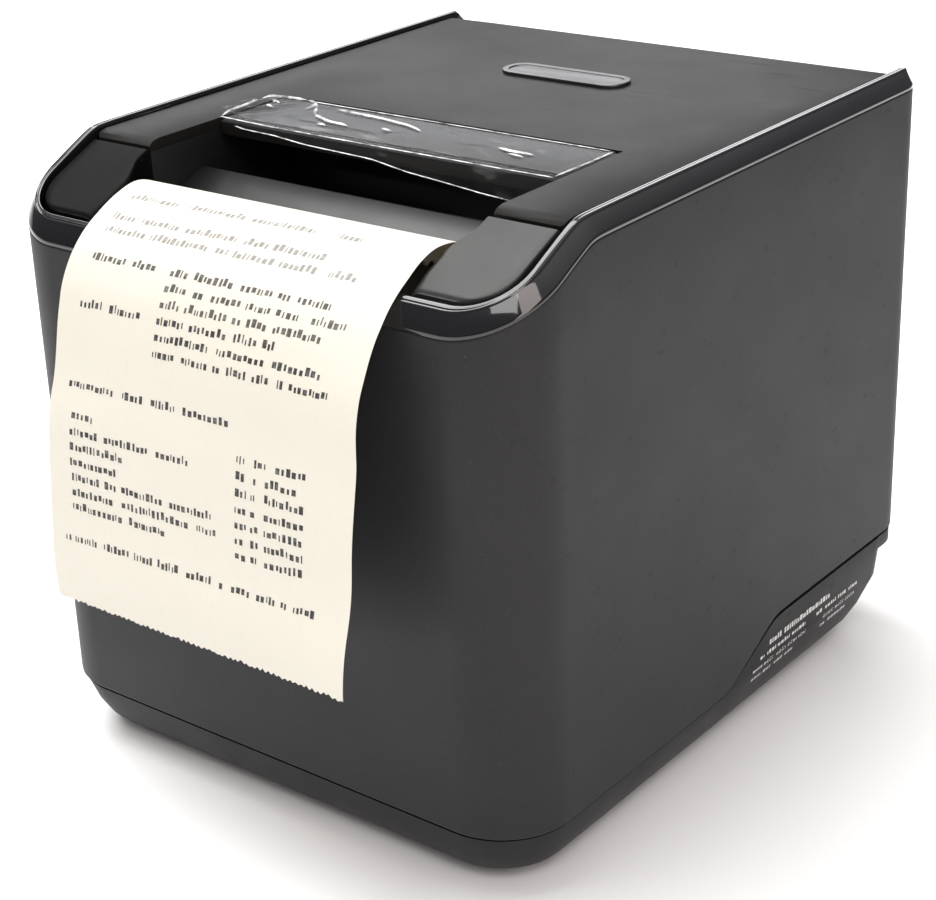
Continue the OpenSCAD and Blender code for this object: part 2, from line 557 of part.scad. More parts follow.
module platen_roller() color([0.1, 0.1, 0.1]) difference() {
  xrod(-41, 41, py, pz, platen_r);
  xrod(-42, 42, py, pz, 2);
}
module platen_shaft() color([0.75, 0.75, 0.78]) xrod(-48, 55.4, py, pz, 2);
module platen_gear() color([0.9, 0.9, 0.88]) spur(gear_x, gear_x + gear_w, py, pz, z_platen, m_dir, 2);
module platen_bushes() color([0.8, 0.65, 0.3]) for (s = [-1, 1]) difference() {
  xrod(s > 0 ? 43 : -47.4, s > 0 ? 47.4 : -43, py, pz, 3.2);
  xrod(s > 0 ? 42 : -49, s > 0 ? 49 : -42, py, pz, 2.05);
}
module idler_gear() color([0.9, 0.9, 0.88]) spur(gear_x, gear_x + gear_w, iy, iz, z_idler, m_dir + 180/z_idler, 2.05);
module idler_pin() color([0.7, 0.7, 0.72]) {
  xrod(48.6, 55.6, iy, iz, 2);
  xrod(55.2, 56, iy, iz, 3);
}
module feed_motor() color([0.3, 0.3, 0.32]) difference() {
  union() {
    box([22, my - 17.5, mz - 17.5], [48.6, my + 17.5, mz + 17.5]);
    xrod(48.4, 50, my, mz, 6);
  }
  xrod(21, 52, my, mz, 2.05);
}
module motor_shaft() color([0.75, 0.75, 0.78]) xrod(24, 55.4, my, mz, 2);
module motor_pinion() color([0.85, 0.7, 0.35]) spur(gear_x, gear_x + gear_w, my, mz, z_pinion, m_dir, 2);

module cutter_housing() color([0.55, 0.56, 0.58]) tilted() {
  for (s = [-1, 1]) difference() {
    box([s > 0 ? 42.6 : -48.6, -31.4, 11.4], [s > 0 ? 48.6 : -42.6, -11, 17]);
    box([s > 0 ? 42 : -44, -40, 13.9], [s > 0 ? 44 : -42, 0, 15.5]);
  }
  box([-42.6, -31.4, 16], [42.6, -11, 17]);
}
module cutter_blade() color([0.8, 0.81, 0.83]) tilted() {
  difference() {
    union() {
      box([-42, -30.4, 14.2], [42, -9, 15.2]);
      box([-43.7, -30.4, 14.2], [43.7, -18.4, 15.2]);
    }
    // Ground edge
    yz(-50, 50) polygon([[-10.4, 15.5], [-8.7, 15.5], [-8.7, 14.3]]);
  }
  // Rack on the underside
  yz(-35, -31) polygon(concat([[-34.6, 14.3], [-34.6, rack_z + 0.92]],
    [for (k = [-5:0]) let(y = cy + (k + 0.5)*PI*gear_m) each [
      [y - 0.8, rack_z + 0.92], [y - 0.3, rack_z - 0.68], [y + 0.3, rack_z - 0.68], [y + 0.8, rack_z + 0.92]]],
    [[-15.4, rack_z + 0.92], [-15.4, 14.3]]));
}
module fixed_blade() color([0.8, 0.81, 0.83]) {
  tilted() box([-mouth, -5.2, 12.6], [mouth, 1.4, 13.9]);
}
module cutter_motor() color([0.3, 0.3, 0.32]) tilted() difference() {
  xrod(-30, -4, cy, cz, 8);
  xrod(-31, -3, cy, cz, 1.05);
}
module cutter_shaft() color([0.75, 0.75, 0.78]) tilted() xrod(-36, -6, cy, cz, 1);
module cutter_pinion() color([0.85, 0.7, 0.35]) tilted() spur(-35, -31, cy, cz, z_cutter, 90, 1);
module cover_switch() color([0.08, 0.08, 0.08]) {
  box([-55.5, -30, 82], [-50, -18, 89]);
  box([-54, -27, 89], [-52, -25, 90]);
}

module placed() { translate([0, y_shift, 0]) children(); }

placed() base_tray();
placed() rubber_feet();
placed() case_screws();
placed() main_board();
placed() board_components();
placed() power_inlet();
placed() usb_port();
placed() serial_port();
placed() drawer_port();
placed() upper_case();
placed() top_bezel();
placed() hinge_brackets();
placed() hinge_pins();
placed() lid();
placed() lid_scoop();
placed() scoop_cheeks();
placed() release_flap();
placed() flap_pin();
placed() flap_spring();
placed() latch_hooks();
placed() latch_shaft();
placed() latch_pins();
placed() top_badge();
placed() feed_key();
placed() power_key();
placed() key_pins();
placed() key_boards();
placed() front_chute();
placed() tear_bar();
placed() roll_bucket();
placed() near_end_sensor();
placed() paper_roll();
placed() paper_core();
placed() paper_web();
placed() receipt_strip();
placed() mech_chassis();
placed() print_head();
placed() head_heatsink();
placed() head_pivot();
placed() head_springs();
placed() head_cable();
placed() platen_roller();
placed() platen_shaft();
placed() platen_gear();
placed() platen_bushes();
placed() idler_gear();
placed() idler_pin();
placed() feed_motor();
placed() motor_shaft();
placed() motor_pinion();
placed() cutter_housing();
placed() cutter_blade();
placed() fixed_blade();
placed() cutter_motor();
placed() cutter_pinion();
placed() cutter_shaft();
placed() cover_switch();
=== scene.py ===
import bpy, bmesh, math, random
from mathutils import Vector, Matrix, noise


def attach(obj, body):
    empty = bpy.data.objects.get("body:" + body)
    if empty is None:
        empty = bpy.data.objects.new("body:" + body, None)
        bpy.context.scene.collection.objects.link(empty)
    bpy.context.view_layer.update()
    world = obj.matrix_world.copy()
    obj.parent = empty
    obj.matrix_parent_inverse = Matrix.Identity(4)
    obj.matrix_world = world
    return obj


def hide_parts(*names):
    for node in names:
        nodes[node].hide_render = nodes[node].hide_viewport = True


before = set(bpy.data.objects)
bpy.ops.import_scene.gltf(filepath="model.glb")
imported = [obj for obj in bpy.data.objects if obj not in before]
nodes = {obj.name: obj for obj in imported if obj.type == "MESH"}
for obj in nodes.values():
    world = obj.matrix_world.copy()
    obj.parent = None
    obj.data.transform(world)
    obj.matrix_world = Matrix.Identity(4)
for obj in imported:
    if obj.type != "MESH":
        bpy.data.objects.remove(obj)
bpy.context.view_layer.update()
scene = bpy.context.scene
S = 0.009125          # the case's middle in y, from the row's origin
mm = 0.001


# ------------------------------------------------------------------ materials
def ease(t):
    t = max(0.0, min(1.0, t))
    return t * t * (3 - 2 * t)


class Mat:
    """A node material built up from procedural noise in object space."""

    def __init__(self, name, colour, rough, metallic=0.0, spec=0.5, coat=0.0, coat_rough=0.1, sheen=0.0):
        self.m = bpy.data.materials.new(name)
        self.m.use_nodes = True
        self.t = self.m.node_tree
        self.p = self.t.nodes["Principled BSDF"]
        self.co = self.t.nodes.new("ShaderNodeTexCoord").outputs["Object"]
        self.p.inputs["Base Color"].default_value = (*colour, 1)
        self.p.inputs["Roughness"].default_value = rough
        self.p.inputs["Metallic"].default_value = metallic
        self.p.inputs["Specular IOR Level"].default_value = spec
        self.p.inputs["Coat Weight"].default_value = coat
        self.p.inputs["Coat Roughness"].default_value = coat_rough
        self.p.inputs["Sheen Weight"].default_value = sheen
        self.colour, self.rough = colour, rough
        self.height = None

    def n(self, kind, **kw):
        x = self.t.nodes.new(kind)
        for k, v in kw.items():
            if isinstance(v, (int, float, tuple)) and k in [i.name for i in x.inputs]:
                x.inputs[k].default_value = v
            else:
                setattr(x, k, v)
        return x

    def link(self, a, b):
        self.t.links.new(a, b)

    def scaled(self, s):
        m = self.n("ShaderNodeMapping")
        m.inputs["Scale"].default_value = s
        self.link(self.co, m.inputs["Vector"])
        return m.outputs["Vector"]

    def noise(self, scale, detail=4, rough=0.55, stretch=None, dist=0.0):
        x = self.n("ShaderNodeTexNoise")
        x.inputs["Scale"].default_value = scale
        x.inputs["Detail"].default_value = detail
        x.inputs["Roughness"].default_value = rough
        x.inputs["Distortion"].default_value = dist
        self.link(self.scaled(stretch) if stretch else self.co, x.inputs["Vector"])
        return x.outputs["Fac"]

    def ramp(self, fac, a, b, lo=0.0, hi=1.0):
        r = self.n("ShaderNodeMapRange")
        r.clamp = True
        for k, v in (("From Min", a), ("From Max", b), ("To Min", lo), ("To Max", hi)):
            r.inputs[k].default_value = v
        self.link(fac, r.inputs["Value"])
        return r.outputs["Result"]

    def tint(self, fac, colour):
        """Mix the present colour towards another by a mask."""
        x = self.n("ShaderNodeMix")
        x.data_type = "RGBA"
        ins = [i for i in x.inputs if i.type == "RGBA"]
        src = self.p.inputs["Base Color"]
        if src.links:
            self.link(src.links[0].from_socket, ins[0])
        else:
            ins[0].default_value = tuple(src.default_value)
        ins[1].default_value = (*colour, 1)
        self.link(fac, x.inputs[0])
        self.link([o for o in x.outputs if o.type == "RGBA"][0], src)
        return self

    def roughness(self, fac):
        self.link(fac, self.p.inputs["Roughness"])
        return self

    def bump(self, fac, dist, strength=1.0):
        b = self.n("ShaderNodeBump")
        b.inputs["Distance"].default_value = dist
        b.inputs["Strength"].default_value = strength
        self.link(fac, b.inputs["Height"])
        if self.height:
            self.link(self.height, b.inputs["Normal"])
        self.height = b.outputs["Normal"]
        self.link(self.height, self.p.inputs["Normal"])
        return self


def moulded(name, colour, lo, hi, grain=1500, depth=0.00002, blotch=0.16, spec=0.5, scuff=0.35, strength=0.5):
    """Textured moulding: spark grain, slow tone drift, polish and a few dull scuffs."""
    m = Mat(name, colour, (lo + hi) / 2, spec=spec)
    light = tuple(min(1, c * (1 + blotch * 2) + 0.0005) for c in colour)
    dark = tuple(c * (1 - blotch) for c in colour)
    m.tint(m.ramp(m.noise(26, 5, 0.6), 0.42, 0.68), light)
    m.tint(m.ramp(m.noise(90, 4, 0.6), 0.5, 0.75, 0, 0.7), dark)
    g = m.noise(grain, 2, 0.5)
    m.tint(m.ramp(g, 0.5, 0.8, 0, 0.35), tuple(min(1, c * 1.7 + 0.004) for c in colour))
    dust = m.ramp(m.noise(2600, 1, 0.5), 0.74, 0.8, 0, 0.35)
    m.tint(dust, tuple(min(1, c + 0.12) for c in colour))
    sc = m.ramp(m.noise(300, 3, 0.5, (0.12, 1.0, 1.6)), 0.66, 0.72, 0, scuff)
    r = m.n("ShaderNodeMath", operation="ADD")
    m.link(m.ramp(m.noise(60, 4, 0.6), 0.3, 0.7, lo, hi), r.inputs[0])
    m.link(sc, r.inputs[1])
    m.roughness(r.outputs[0])
    m.bump(g, depth, strength)
    m.bump(m.noise(55, 2, 0.5), 0.00006, 0.12)
    return m.m


def metal(name, colour, lo, hi, stretch=(0.02, 1, 1), scale=1400, stain=None):
    """Drawn or ground metal: fine lines along the draw, faint stains."""
    m = Mat(name, colour, (lo + hi) / 2, metallic=1.0)
    line = m.noise(scale, 4, 0.6, stretch)
    m.tint(m.ramp(line, 0.35, 0.7, 0, 0.5), tuple(c * 0.78 for c in colour))
    m.tint(m.ramp(m.noise(70, 5, 0.6), 0.5, 0.72, 0, 0.5), stain or tuple(c * 0.7 for c in colour))
    m.roughness(m.ramp(m.noise(120, 4, 0.6), 0.3, 0.7, lo, hi))
    m.bump(line, 0.00001, 0.4)
    return m.m


def gloss_black():
    m = Mat("piano_black", (0.006, 0.006, 0.007), 0.06, spec=0.5, coat=0.6, coat_rough=0.03)
    m.tint(m.ramp(m.noise(40, 4, 0.6), 0.45, 0.7, 0, 0.6), (0.010, 0.010, 0.012))
    m.tint(m.ramp(m.noise(2300, 1, 0.5), 0.76, 0.8, 0, 0.15), (0.2, 0.2, 0.2))
    m.roughness(m.ramp(m.noise(500, 4, 0.6, (1, 0.2, 1)), 0.45, 0.75, 0.05, 0.09))
    m.bump(m.noise(90, 2, 0.5), 0.00002, 0.06)
    return m.m


def paper(name, colour=(0.83, 0.795, 0.70)):
    m = Mat(name, colour, 0.5, spec=0.35, sheen=0.05)
    m.tint(m.ramp(m.noise(35, 4, 0.6), 0.45, 0.7, 0, 0.6), tuple(c * 0.975 for c in colour))
    fib = m.noise(900, 4, 0.65, (1, 0.35, 0.35))
    m.tint(m.ramp(fib, 0.52, 0.72, 0, 0.5), tuple(c * 0.95 for c in colour))
    m.roughness(m.ramp(m.noise(80, 3, 0.5), 0.3, 0.7, 0.38, 0.52))
    m.bump(fib, 0.000012, 0.35)
    m.bump(m.noise(70, 3, 0.5, (1, 0.3, 0.3)), 0.0001, 0.14)
    t = m.n("ShaderNodeBsdfTranslucent")
    t.inputs["Color"].default_value = (*colour, 1)
    mix = m.n("ShaderNodeMixShader")
    mix.inputs[0].default_value = 0.16
    out = [x for x in m.t.nodes if x.type == "OUTPUT_MATERIAL"][0]
    m.link(m.p.outputs[0], mix.inputs[1])
    m.link(t.outputs[0], mix.inputs[2])
    m.link(mix.outputs[0], out.inputs["Surface"])
    return m.m


def wound_paper():
    """End of a roll: fine rings round the axis, plain on the outside."""
    m = Mat("roll_paper", (0.9, 0.885, 0.83), 0.55, spec=0.3)
    sep = m.n("ShaderNodeSeparateXYZ")
    m.link(m.co, sep.inputs[0])
    d = []
    for k, c in ((1, 0.028 + S), (2, 0.060)):
        s = m.n("ShaderNodeMath", operation="SUBTRACT")
        m.link(sep.outputs[k], s.inputs[0])
        s.inputs[1].default_value = c
        q = m.n("ShaderNodeMath", operation="MULTIPLY")
        m.link(s.outputs[0], q.inputs[0])
        m.link(s.outputs[0], q.inputs[1])
        d.append(q.outputs[0])
    a = m.n("ShaderNodeMath", operation="ADD")
    m.link(d[0], a.inputs[0])
    m.link(d[1], a.inputs[1])
    r = m.n("ShaderNodeMath", operation="SQRT")
    m.link(a.outputs[0], r.inputs[0])
    f = m.n("ShaderNodeMath", operation="MULTIPLY")
    m.link(r.outputs[0], f.inputs[0])
    f.inputs[1].default_value = 9000
    sn = m.n("ShaderNodeMath", operation="SINE")
    m.link(f.outputs[0], sn.inputs[0])
    rings = m.ramp(sn.outputs[0], -1, 1)
    m.tint(m.ramp(rings, 0.3, 1.0, 0, 0.3), (0.7, 0.68, 0.61))
    m.tint(m.ramp(m.noise(120, 4, 0.6), 0.45, 0.7, 0, 0.4), (0.82, 0.8, 0.72))
    m.roughness(m.ramp(m.noise(90, 3, 0.5), 0.3, 0.7, 0.45, 0.6))
    m.bump(rings, 0.00002, 0.3)
    return m.m


def card():
    m = Mat("core_card", (0.5, 0.38, 0.25), 0.85, spec=0.25)
    m.tint(m.ramp(m.noise(500, 5, 0.7, (0.3, 1, 1)), 0.4, 0.7), (0.38, 0.28, 0.17))
    m.tint(m.ramp(m.noise(1500, 2, 0.5), 0.6, 0.75, 0, 0.7), (0.66, 0.55, 0.4))
    m.roughness(m.ramp(m.noise(300, 3), 0.3, 0.7, 0.78, 0.92))
    m.bump(m.noise(700, 5, 0.7), 0.00004, 0.5)
    return m.m


def rubber(name, colour=(0.018, 0.018, 0.018)):
    m = Mat(name, colour, 0.75, spec=0.35, sheen=0.1)
    m.tint(m.ramp(m.noise(130, 4, 0.6), 0.45, 0.7, 0, 0.8), tuple(c * 2 for c in colour))
    m.tint(m.ramp(m.noise(1600, 2), 0.62, 0.75, 0, 0.5), (0.12, 0.115, 0.11))
    m.roughness(m.ramp(m.noise(200, 3), 0.3, 0.7, 0.62, 0.82))
    m.bump(m.noise(1800, 3), 0.00002, 0.6)
    return m.m


def board():
    m = Mat("solder_mask", (0.012, 0.11, 0.045), 0.3, coat=0.3)
    v = m.n("ShaderNodeTexVoronoi")
    v.inputs["Scale"].default_value = 260
    m.link(m.scaled((1, 0.35, 1)), v.inputs["Vector"])
    m.tint(m.ramp(v.outputs["Distance"], 0.30, 0.33, 0.0, 0.8), (0.02, 0.2, 0.085))
    w = m.n("ShaderNodeTexVoronoi")
    w.inputs["Scale"].default_value = 330
    m.link(m.co, w.inputs["Vector"])
    m.tint(m.ramp(w.outputs["Distance"], 0.17, 0.15, 0.0, 1.0), (0.75, 0.6, 0.35))
    m.tint(m.ramp(m.noise(60, 4), 0.45, 0.7, 0, 0.6), (0.01, 0.08, 0.035))
    m.roughness(m.ramp(m.noise(200, 3), 0.3, 0.7, 0.25, 0.4))
    m.bump(v.outputs["Distance"], 0.00002, 0.3)
    return m.m


def nylon():
    m = Mat("natural_nylon", (0.8, 0.78, 0.7), 0.4, spec=0.45)
    m.p.inputs["Subsurface Weight"].default_value = 0.2
    m.p.inputs["Subsurface Scale"].default_value = 0.002
    m.tint(m.ramp(m.noise(120, 4), 0.45, 0.7, 0, 0.7), (0.72, 0.69, 0.6))
    m.tint(m.ramp(m.noise(420, 4), 0.62, 0.75, 0, 0.6), (0.32, 0.3, 0.26))
    m.roughness(m.ramp(m.noise(200, 3), 0.3, 0.7, 0.32, 0.5))
    m.bump(m.noise(900, 2), 0.00001, 0.4)
    return m.m


def glazed(name, colour):
    m = Mat(name, colour, 0.2, spec=0.6, coat=0.4)
    m.tint(m.ramp(m.noise(100, 4), 0.45, 0.7, 0, 0.6), tuple(c * 0.85 for c in colour))
    m.tint(m.ramp(m.noise(1400, 2), 0.66, 0.76, 0, 0.5), tuple(c * 0.4 for c in colour))
    m.roughness(m.ramp(m.noise(250, 3), 0.3, 0.7, 0.14, 0.3))
    m.bump(m.noise(300, 3), 0.00001, 0.3)
    return m.m


def film():
    """Clear film: mostly see-through, with sharp glints and a faint milky haze on the creases."""
    m = Mat("clear_film", (0.92, 0.93, 0.95), 0.08, spec=0.6)
    t = m.t
    out = [x for x in t.nodes if x.type == "OUTPUT_MATERIAL"][0]
    crease = m.noise(95, 3, 0.6, (0.45, 1.2, 1.2), 1.2)
    fine = m.noise(340, 3, 0.6, (0.5, 1, 1), 0.8)
    m.bump(crease, 0.0006, 0.25)
    m.bump(fine, 0.0001, 0.15)
    gl = m.n("ShaderNodeBsdfGlossy")
    gl.inputs["Color"].default_value = (1, 1, 1, 1)
    m.link(m.ramp(fine, 0.3, 0.7, 0.05, 0.16), gl.inputs["Roughness"])
    m.link(m.height, gl.inputs["Normal"])
    tr = m.n("ShaderNodeBsdfTransparent")
    tr.inputs["Color"].default_value = (0.93, 0.94, 0.95, 1)
    fr = m.n("ShaderNodeFresnel")
    fr.inputs["IOR"].default_value = 1.5
    m.link(m.height, fr.inputs["Normal"])
    df = m.n("ShaderNodeBsdfDiffuse")
    df.inputs["Color"].default_value = (0.88, 0.89, 0.9, 1)
    haze = m.n("ShaderNodeMixShader")
    m.link(m.ramp(crease, 0.58, 0.72, 0.012, 0.10), haze.inputs[0])
    m.link(tr.outputs[0], haze.inputs[1])
    m.link(df.outputs[0], haze.inputs[2])
    mix = m.n("ShaderNodeMixShader")
    m.link(m.ramp(fr.outputs[0], 0.05, 1.0, 0.0, 0.22), mix.inputs[0])
    m.link(haze.outputs[0], mix.inputs[1])
    m.link(gl.outputs[0], mix.inputs[2])
    m.link(mix.outputs[0], out.inputs["Surface"])
    return m.m


def folded_film_painted_glint():
    """Creased edge of the film: raised folds in a milky white colour that is partly painted highlight where light
    glints on them, broken up along its length.
    """
    m = Mat("film_crease_painted_glint", (0.9, 0.9, 0.92), 0.18, spec=0.7)
    t = m.t
    out = [x for x in t.nodes if x.type == "OUTPUT_MATERIAL"][0]
    m.roughness(m.ramp(m.noise(500, 3), 0.3, 0.7, 0.12, 0.3))
    m.bump(m.noise(700, 3, 0.6), 0.00008, 0.4)
    tr = m.n("ShaderNodeBsdfTransparent")
    tr.inputs["Color"].default_value = (0.95, 0.95, 0.96, 1)
    mix = m.n("ShaderNodeMixShader")
    m.link(m.ramp(m.noise(260, 4, 0.65), 0.38, 0.58, 0.2, 0.9), mix.inputs[0])
    m.link(tr.outputs[0], mix.inputs[1])
    m.link(m.p.outputs[0], mix.inputs[2])
    m.link(mix.outputs[0], out.inputs["Surface"])
    return m.m


def ink(name, colour):
    m = Mat(name, colour, 0.55, spec=0.25)
    m.tint(m.ramp(m.noise(1100, 3, 0.6), 0.48, 0.66, 0, 0.75), tuple(min(1, c + 0.16) for c in colour))
    m.roughness(m.ramp(m.noise(400, 2), 0.3, 0.7, 0.45, 0.65))
    m.bump(m.noise(900, 2), 0.000008, 0.3)
    return m.m


MATS = {
    "case": moulded("case_moulding", (0.0115, 0.0110, 0.0130), 0.49, 0.54, grain=1700, depth=0.000024, blotch=0.07, spec=0.31, scuff=0.08, strength=0.5),
    "base": moulded("base_moulding", (0.0045, 0.0043, 0.0047), 0.46, 0.58, grain=1300, depth=0.000026, spec=0.35, scuff=0.08),
    "gloss": gloss_black(),
    "lid": moulded("lid_moulding", (0.0090, 0.0083, 0.0079), 0.42, 0.47, grain=2000, depth=0.000018, blotch=0.08, spec=0.09, scuff=0.05, strength=0.5),
    "scoop": moulded("scoop_moulding", (0.0065, 0.0065, 0.0070), 0.36, 0.46, grain=1500, depth=0.000018, spec=0.45, scuff=0.06),
    # the two keys are one moulding: the right key gets a lighter colour as painted light, the left key a darker colour
    # as painted shade
    "key_painted_lit": moulded("key_moulding_painted_lit", (0.0150, 0.0160, 0.0152), 0.36, 0.46, grain=2000, depth=0.000018, blotch=0.08, spec=0.30, scuff=0.05),
    "key_painted_shade": moulded("key_moulding_painted_shade", (0.0030, 0.0029, 0.0030), 0.38, 0.48, grain=2000, depth=0.000018, blotch=0.1, spec=0.05, scuff=0.05),
    "black": moulded("black_plastic", (0.014, 0.014, 0.014), 0.38, 0.5, grain=1200),
    "badge": metal("satin_silver", (0.17, 0.17, 0.173), 0.40, 0.52, (0.05, 1, 1), 1800),
    "rubber": rubber("foot_rubber"),
    "platen": rubber("platen_rubber", (0.012, 0.012, 0.013)),
    "steel": metal("drawn_steel", (0.58, 0.58, 0.6), 0.22, 0.36),
    "blade": metal("ground_steel", (0.66, 0.67, 0.69), 0.12, 0.24, (1, 0.02, 1), 2000),
    "zinc": metal("zinc_sheet", (0.5, 0.51, 0.53), 0.34, 0.5, (0.6, 1, 0.6), 260, (0.62, 0.6, 0.52)),
    "alloy": metal("extruded_alloy", (0.68, 0.69, 0.71), 0.3, 0.42, (1, 1, 0.03), 1300),
    "brass": metal("turned_brass", (0.7, 0.5, 0.22), 0.22, 0.38, (1, 1, 1), 900, (0.42, 0.28, 0.12)),
    "paper": paper("thermal_paper"),
    "roll": wound_paper(),
    "card": card(),
    "board": board(),
    "nylon": nylon(),
    "ceramic": glazed("glazed_ceramic", (0.74, 0.72, 0.66)),
    "flex": glazed("flat_cable", (0.6, 0.6, 0.56)),
    "enamel": moulded("motor_enamel", (0.02, 0.02, 0.022), 0.25, 0.4, grain=900, depth=0.00004),
    "film": film(),
    "crease": folded_film_painted_glint(),
    "ink1": ink("print_dark", (0.045, 0.042, 0.04)),
    "ink2": ink("print_mid", (0.09, 0.085, 0.08)),
    "ink3": ink("print_faint", (0.27, 0.26, 0.24)),
    "mark": ink("label_marks", (0.62, 0.61, 0.61)),
    "label": moulded("label_film", (0.013, 0.012, 0.013), 0.28, 0.38, grain=900, depth=0.00001),
}
USE = {
    "base_tray": "base", "rubber_feet": "rubber", "case_screws": "zinc", "main_board": "board",
    "board_components": "black", "power_inlet": "black", "usb_port": "steel", "serial_port": "steel",
    "drawer_port": "black", "upper_case": "case", "top_bezel": "gloss", "hinge_brackets": "black",
    "hinge_pins": "steel", "lid": "lid", "lid_scoop": "scoop", "scoop_cheeks": "scoop",
    "release_flap": "lid", "flap_pin": "steel", "flap_spring": "steel", "latch_hooks": "zinc",
    "latch_shaft": "steel", "latch_pins": "steel", "top_badge": "badge", "feed_key": "key_painted_lit",
    "power_key": "key_painted_shade", "key_pins": "steel", "key_boards": "board", "front_chute": "scoop",
    "tear_bar": "steel", "roll_bucket": "base", "near_end_sensor": "black", "paper_roll": "roll",
    "paper_core": "card", "paper_web": "paper", "receipt_strip": "paper", "mech_chassis": "zinc",
    "print_head": "ceramic", "head_heatsink": "alloy", "head_pivot": "steel", "head_springs": "steel",
    "head_cable": "flex", "platen_roller": "platen", "platen_shaft": "steel", "platen_gear": "nylon",
    "platen_bushes": "brass", "idler_gear": "nylon", "idler_pin": "steel", "feed_motor": "enamel",
    "motor_shaft": "steel", "motor_pinion": "brass", "cutter_housing": "zinc", "cutter_blade": "blade",
    "fixed_blade": "blade", "cutter_motor": "enamel", "cutter_pinion": "brass", "cutter_shaft": "steel",
    "cover_switch": "black",
}
for n, o in nodes.items():
    o.data.materials.clear()
    o.data.materials.append(MATS[USE[n]])


# ------------------------------------------------------------------ building helpers
def make(name, verts, faces, mat, body, smooth=True, sharp=None):
    """A mesh from points in millimetres about the case's middle."""
    me = bpy.data.meshes.new(name)
    me.from_pydata([(x * mm, y * mm + S, z * mm) for x, y, z in verts], [], faces)
    me.materials.append(MATS[mat])
    me.validate()
    bm = bmesh.new()
    bm.from_mesh(me)
    bmesh.ops.recalc_face_normals(bm, faces=bm.faces)
    bm.to_mesh(me)
    bm.free()
    if smooth:
        me.polygons.foreach_set("use_smooth", [True] * len(me.polygons))
        if sharp:
            me.set_sharp_from_angle(angle=math.radians(sharp))
    o = bpy.data.objects.new(name, me)
    scene.collection.objects.link(o)
    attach(o, body)
    return o


def refined(node, body, width=0.25, mat=None, angle=28, segs=2, keep=True):
    """A welded copy of a CAD node with small rounded edges, shown in its place."""
    src = nodes[node]
    me = src.data.copy()
    me.name = node + "_shell"
    bm = bmesh.new()
    bm.from_mesh(me)
    bmesh.ops.remove_doubles(bm, verts=bm.verts, dist=0.000004)
    bmesh.ops.dissolve_limit(bm, angle_limit=math.radians(0.6), verts=bm.verts, edges=bm.edges)
    edges = [e for e in bm.edges if len(e.link_faces) == 2 and e.calc_face_angle(0) > math.radians(angle)]
    if width:
        bmesh.ops.bevel(bm, geom=edges, offset=width * mm, offset_type="OFFSET", segments=segs, profile=0.5,
                        affect="EDGES", clamp_overlap=True, harden_normals=False)
    bmesh.ops.recalc_face_normals(bm, faces=bm.faces)
    out = bpy.data.meshes.new(node + "_shell")
    bm.to_mesh(out)
    bm.free()
    bpy.data.meshes.remove(me)
    out.materials.append(MATS[mat or USE[node]])
    out.polygons.foreach_set("use_smooth", [True] * len(out.polygons))
    out.set_sharp_from_angle(angle=math.radians(38))
    o = bpy.data.objects.new(node + "_shell", out)
    scene.collection.objects.link(o)
    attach(o, body)
    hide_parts(node)
    return o


def tube(rings, closed=True):
    """Faces joining a list of equal rings, each ring closed, the list closed too if wanted."""
    m, k = len(rings[0]), len(rings)
    verts = [p for r in rings for p in r]
    faces = []
    for j in range(k if closed else k - 1):
        j2 = (j + 1) % k
        for i in range(m):
            i2 = (i + 1) % m
            faces.append((j * m + i, j * m + i2, j2 * m + i2, j2 * m + i))
    return verts, faces


def cuboid(verts, faces, c, size):
    """Adds a rib with its corners taken off."""
    b = len(verts)
    x, y, z = (q / 2 for q in size)
    k = 0.25
    for h, e in ((-z, k), (-z + k, 0), (z - k, 0), (z, k)):
        verts += [(c[0] + i * (x - e), c[1] + j * (y - e), c[2] + h) for i, j in ((-1, -1), (1, -1), (1, 1), (-1, 1))]
    for q in range(3):
        faces += [(b + q * 4 + i, b + q * 4 + (i + 1) % 4, b + q * 4 + 4 + (i + 1) % 4, b + q * 4 + 4 + i) for i in range(4)]
    faces += [(b + 3, b + 2, b + 1, b), (b + 12, b + 13, b + 14, b + 15)]


hw, yf, yb, wall = 65.0, -77.0, 77.0, 2.4


def drop(y, y0, k):
    u = k * (y0 - y)
    return 0.5 * (u + math.sqrt(u * u + 0.8))


def z_case(y): return 128.8 - drop(y, -51.3, 0.52)
def z_rim(y): return 132.6 - drop(y, -51.2, 0.50) - (3 * ease((y - 72) / 3.6) if y > 72 else 0)
def z_panel(y): return 131.4 - drop(y, -51.6, 0.45)
def z_seam(y): return 13.8 + 10.4 * (math.sqrt((y + 2.2) ** 2 + 3) - math.sqrt((y - 17) ** 2 + 3) + 19.2) / 38.4


def arc(cx, cy, r, a0, n):
    return [(cx + r * math.cos(math.radians(a0 + 90 * i / n)), cy + r * math.sin(math.radians(a0 + 90 * i / n))) for i in range(n + 1)]


def loop(x, y0, y1, rf, rr, n=20, k=110):
    side = lambda xx, ya, yc: [(xx, ya + (yc - ya) * i / k) for i in range(1, k)]
    return (arc(x - rr, y1 - rr, rr, 0, n) + arc(-x + rr, y1 - rr, rr, 90, n) + side(-x, y1 - rr, y0 + rf)
            + arc(-x + rf, y0 + rf, rf, 180, n) + arc(x - rf, y0 + rf, rf, 270, n) + side(x, y0 + rf, y1 - rr))


def lerp(a, b, t): return [(p[0] + (q[0] - p[0]) * t, p[1] + (q[1] - p[1]) * t) for p, q in zip(a, b)]
def inset(t): return loop(hw - t, yf + t, yb - t, 16 - t, 9 - t)
def lift(l, f): return [(x, y, f(y)) for x, y in l]


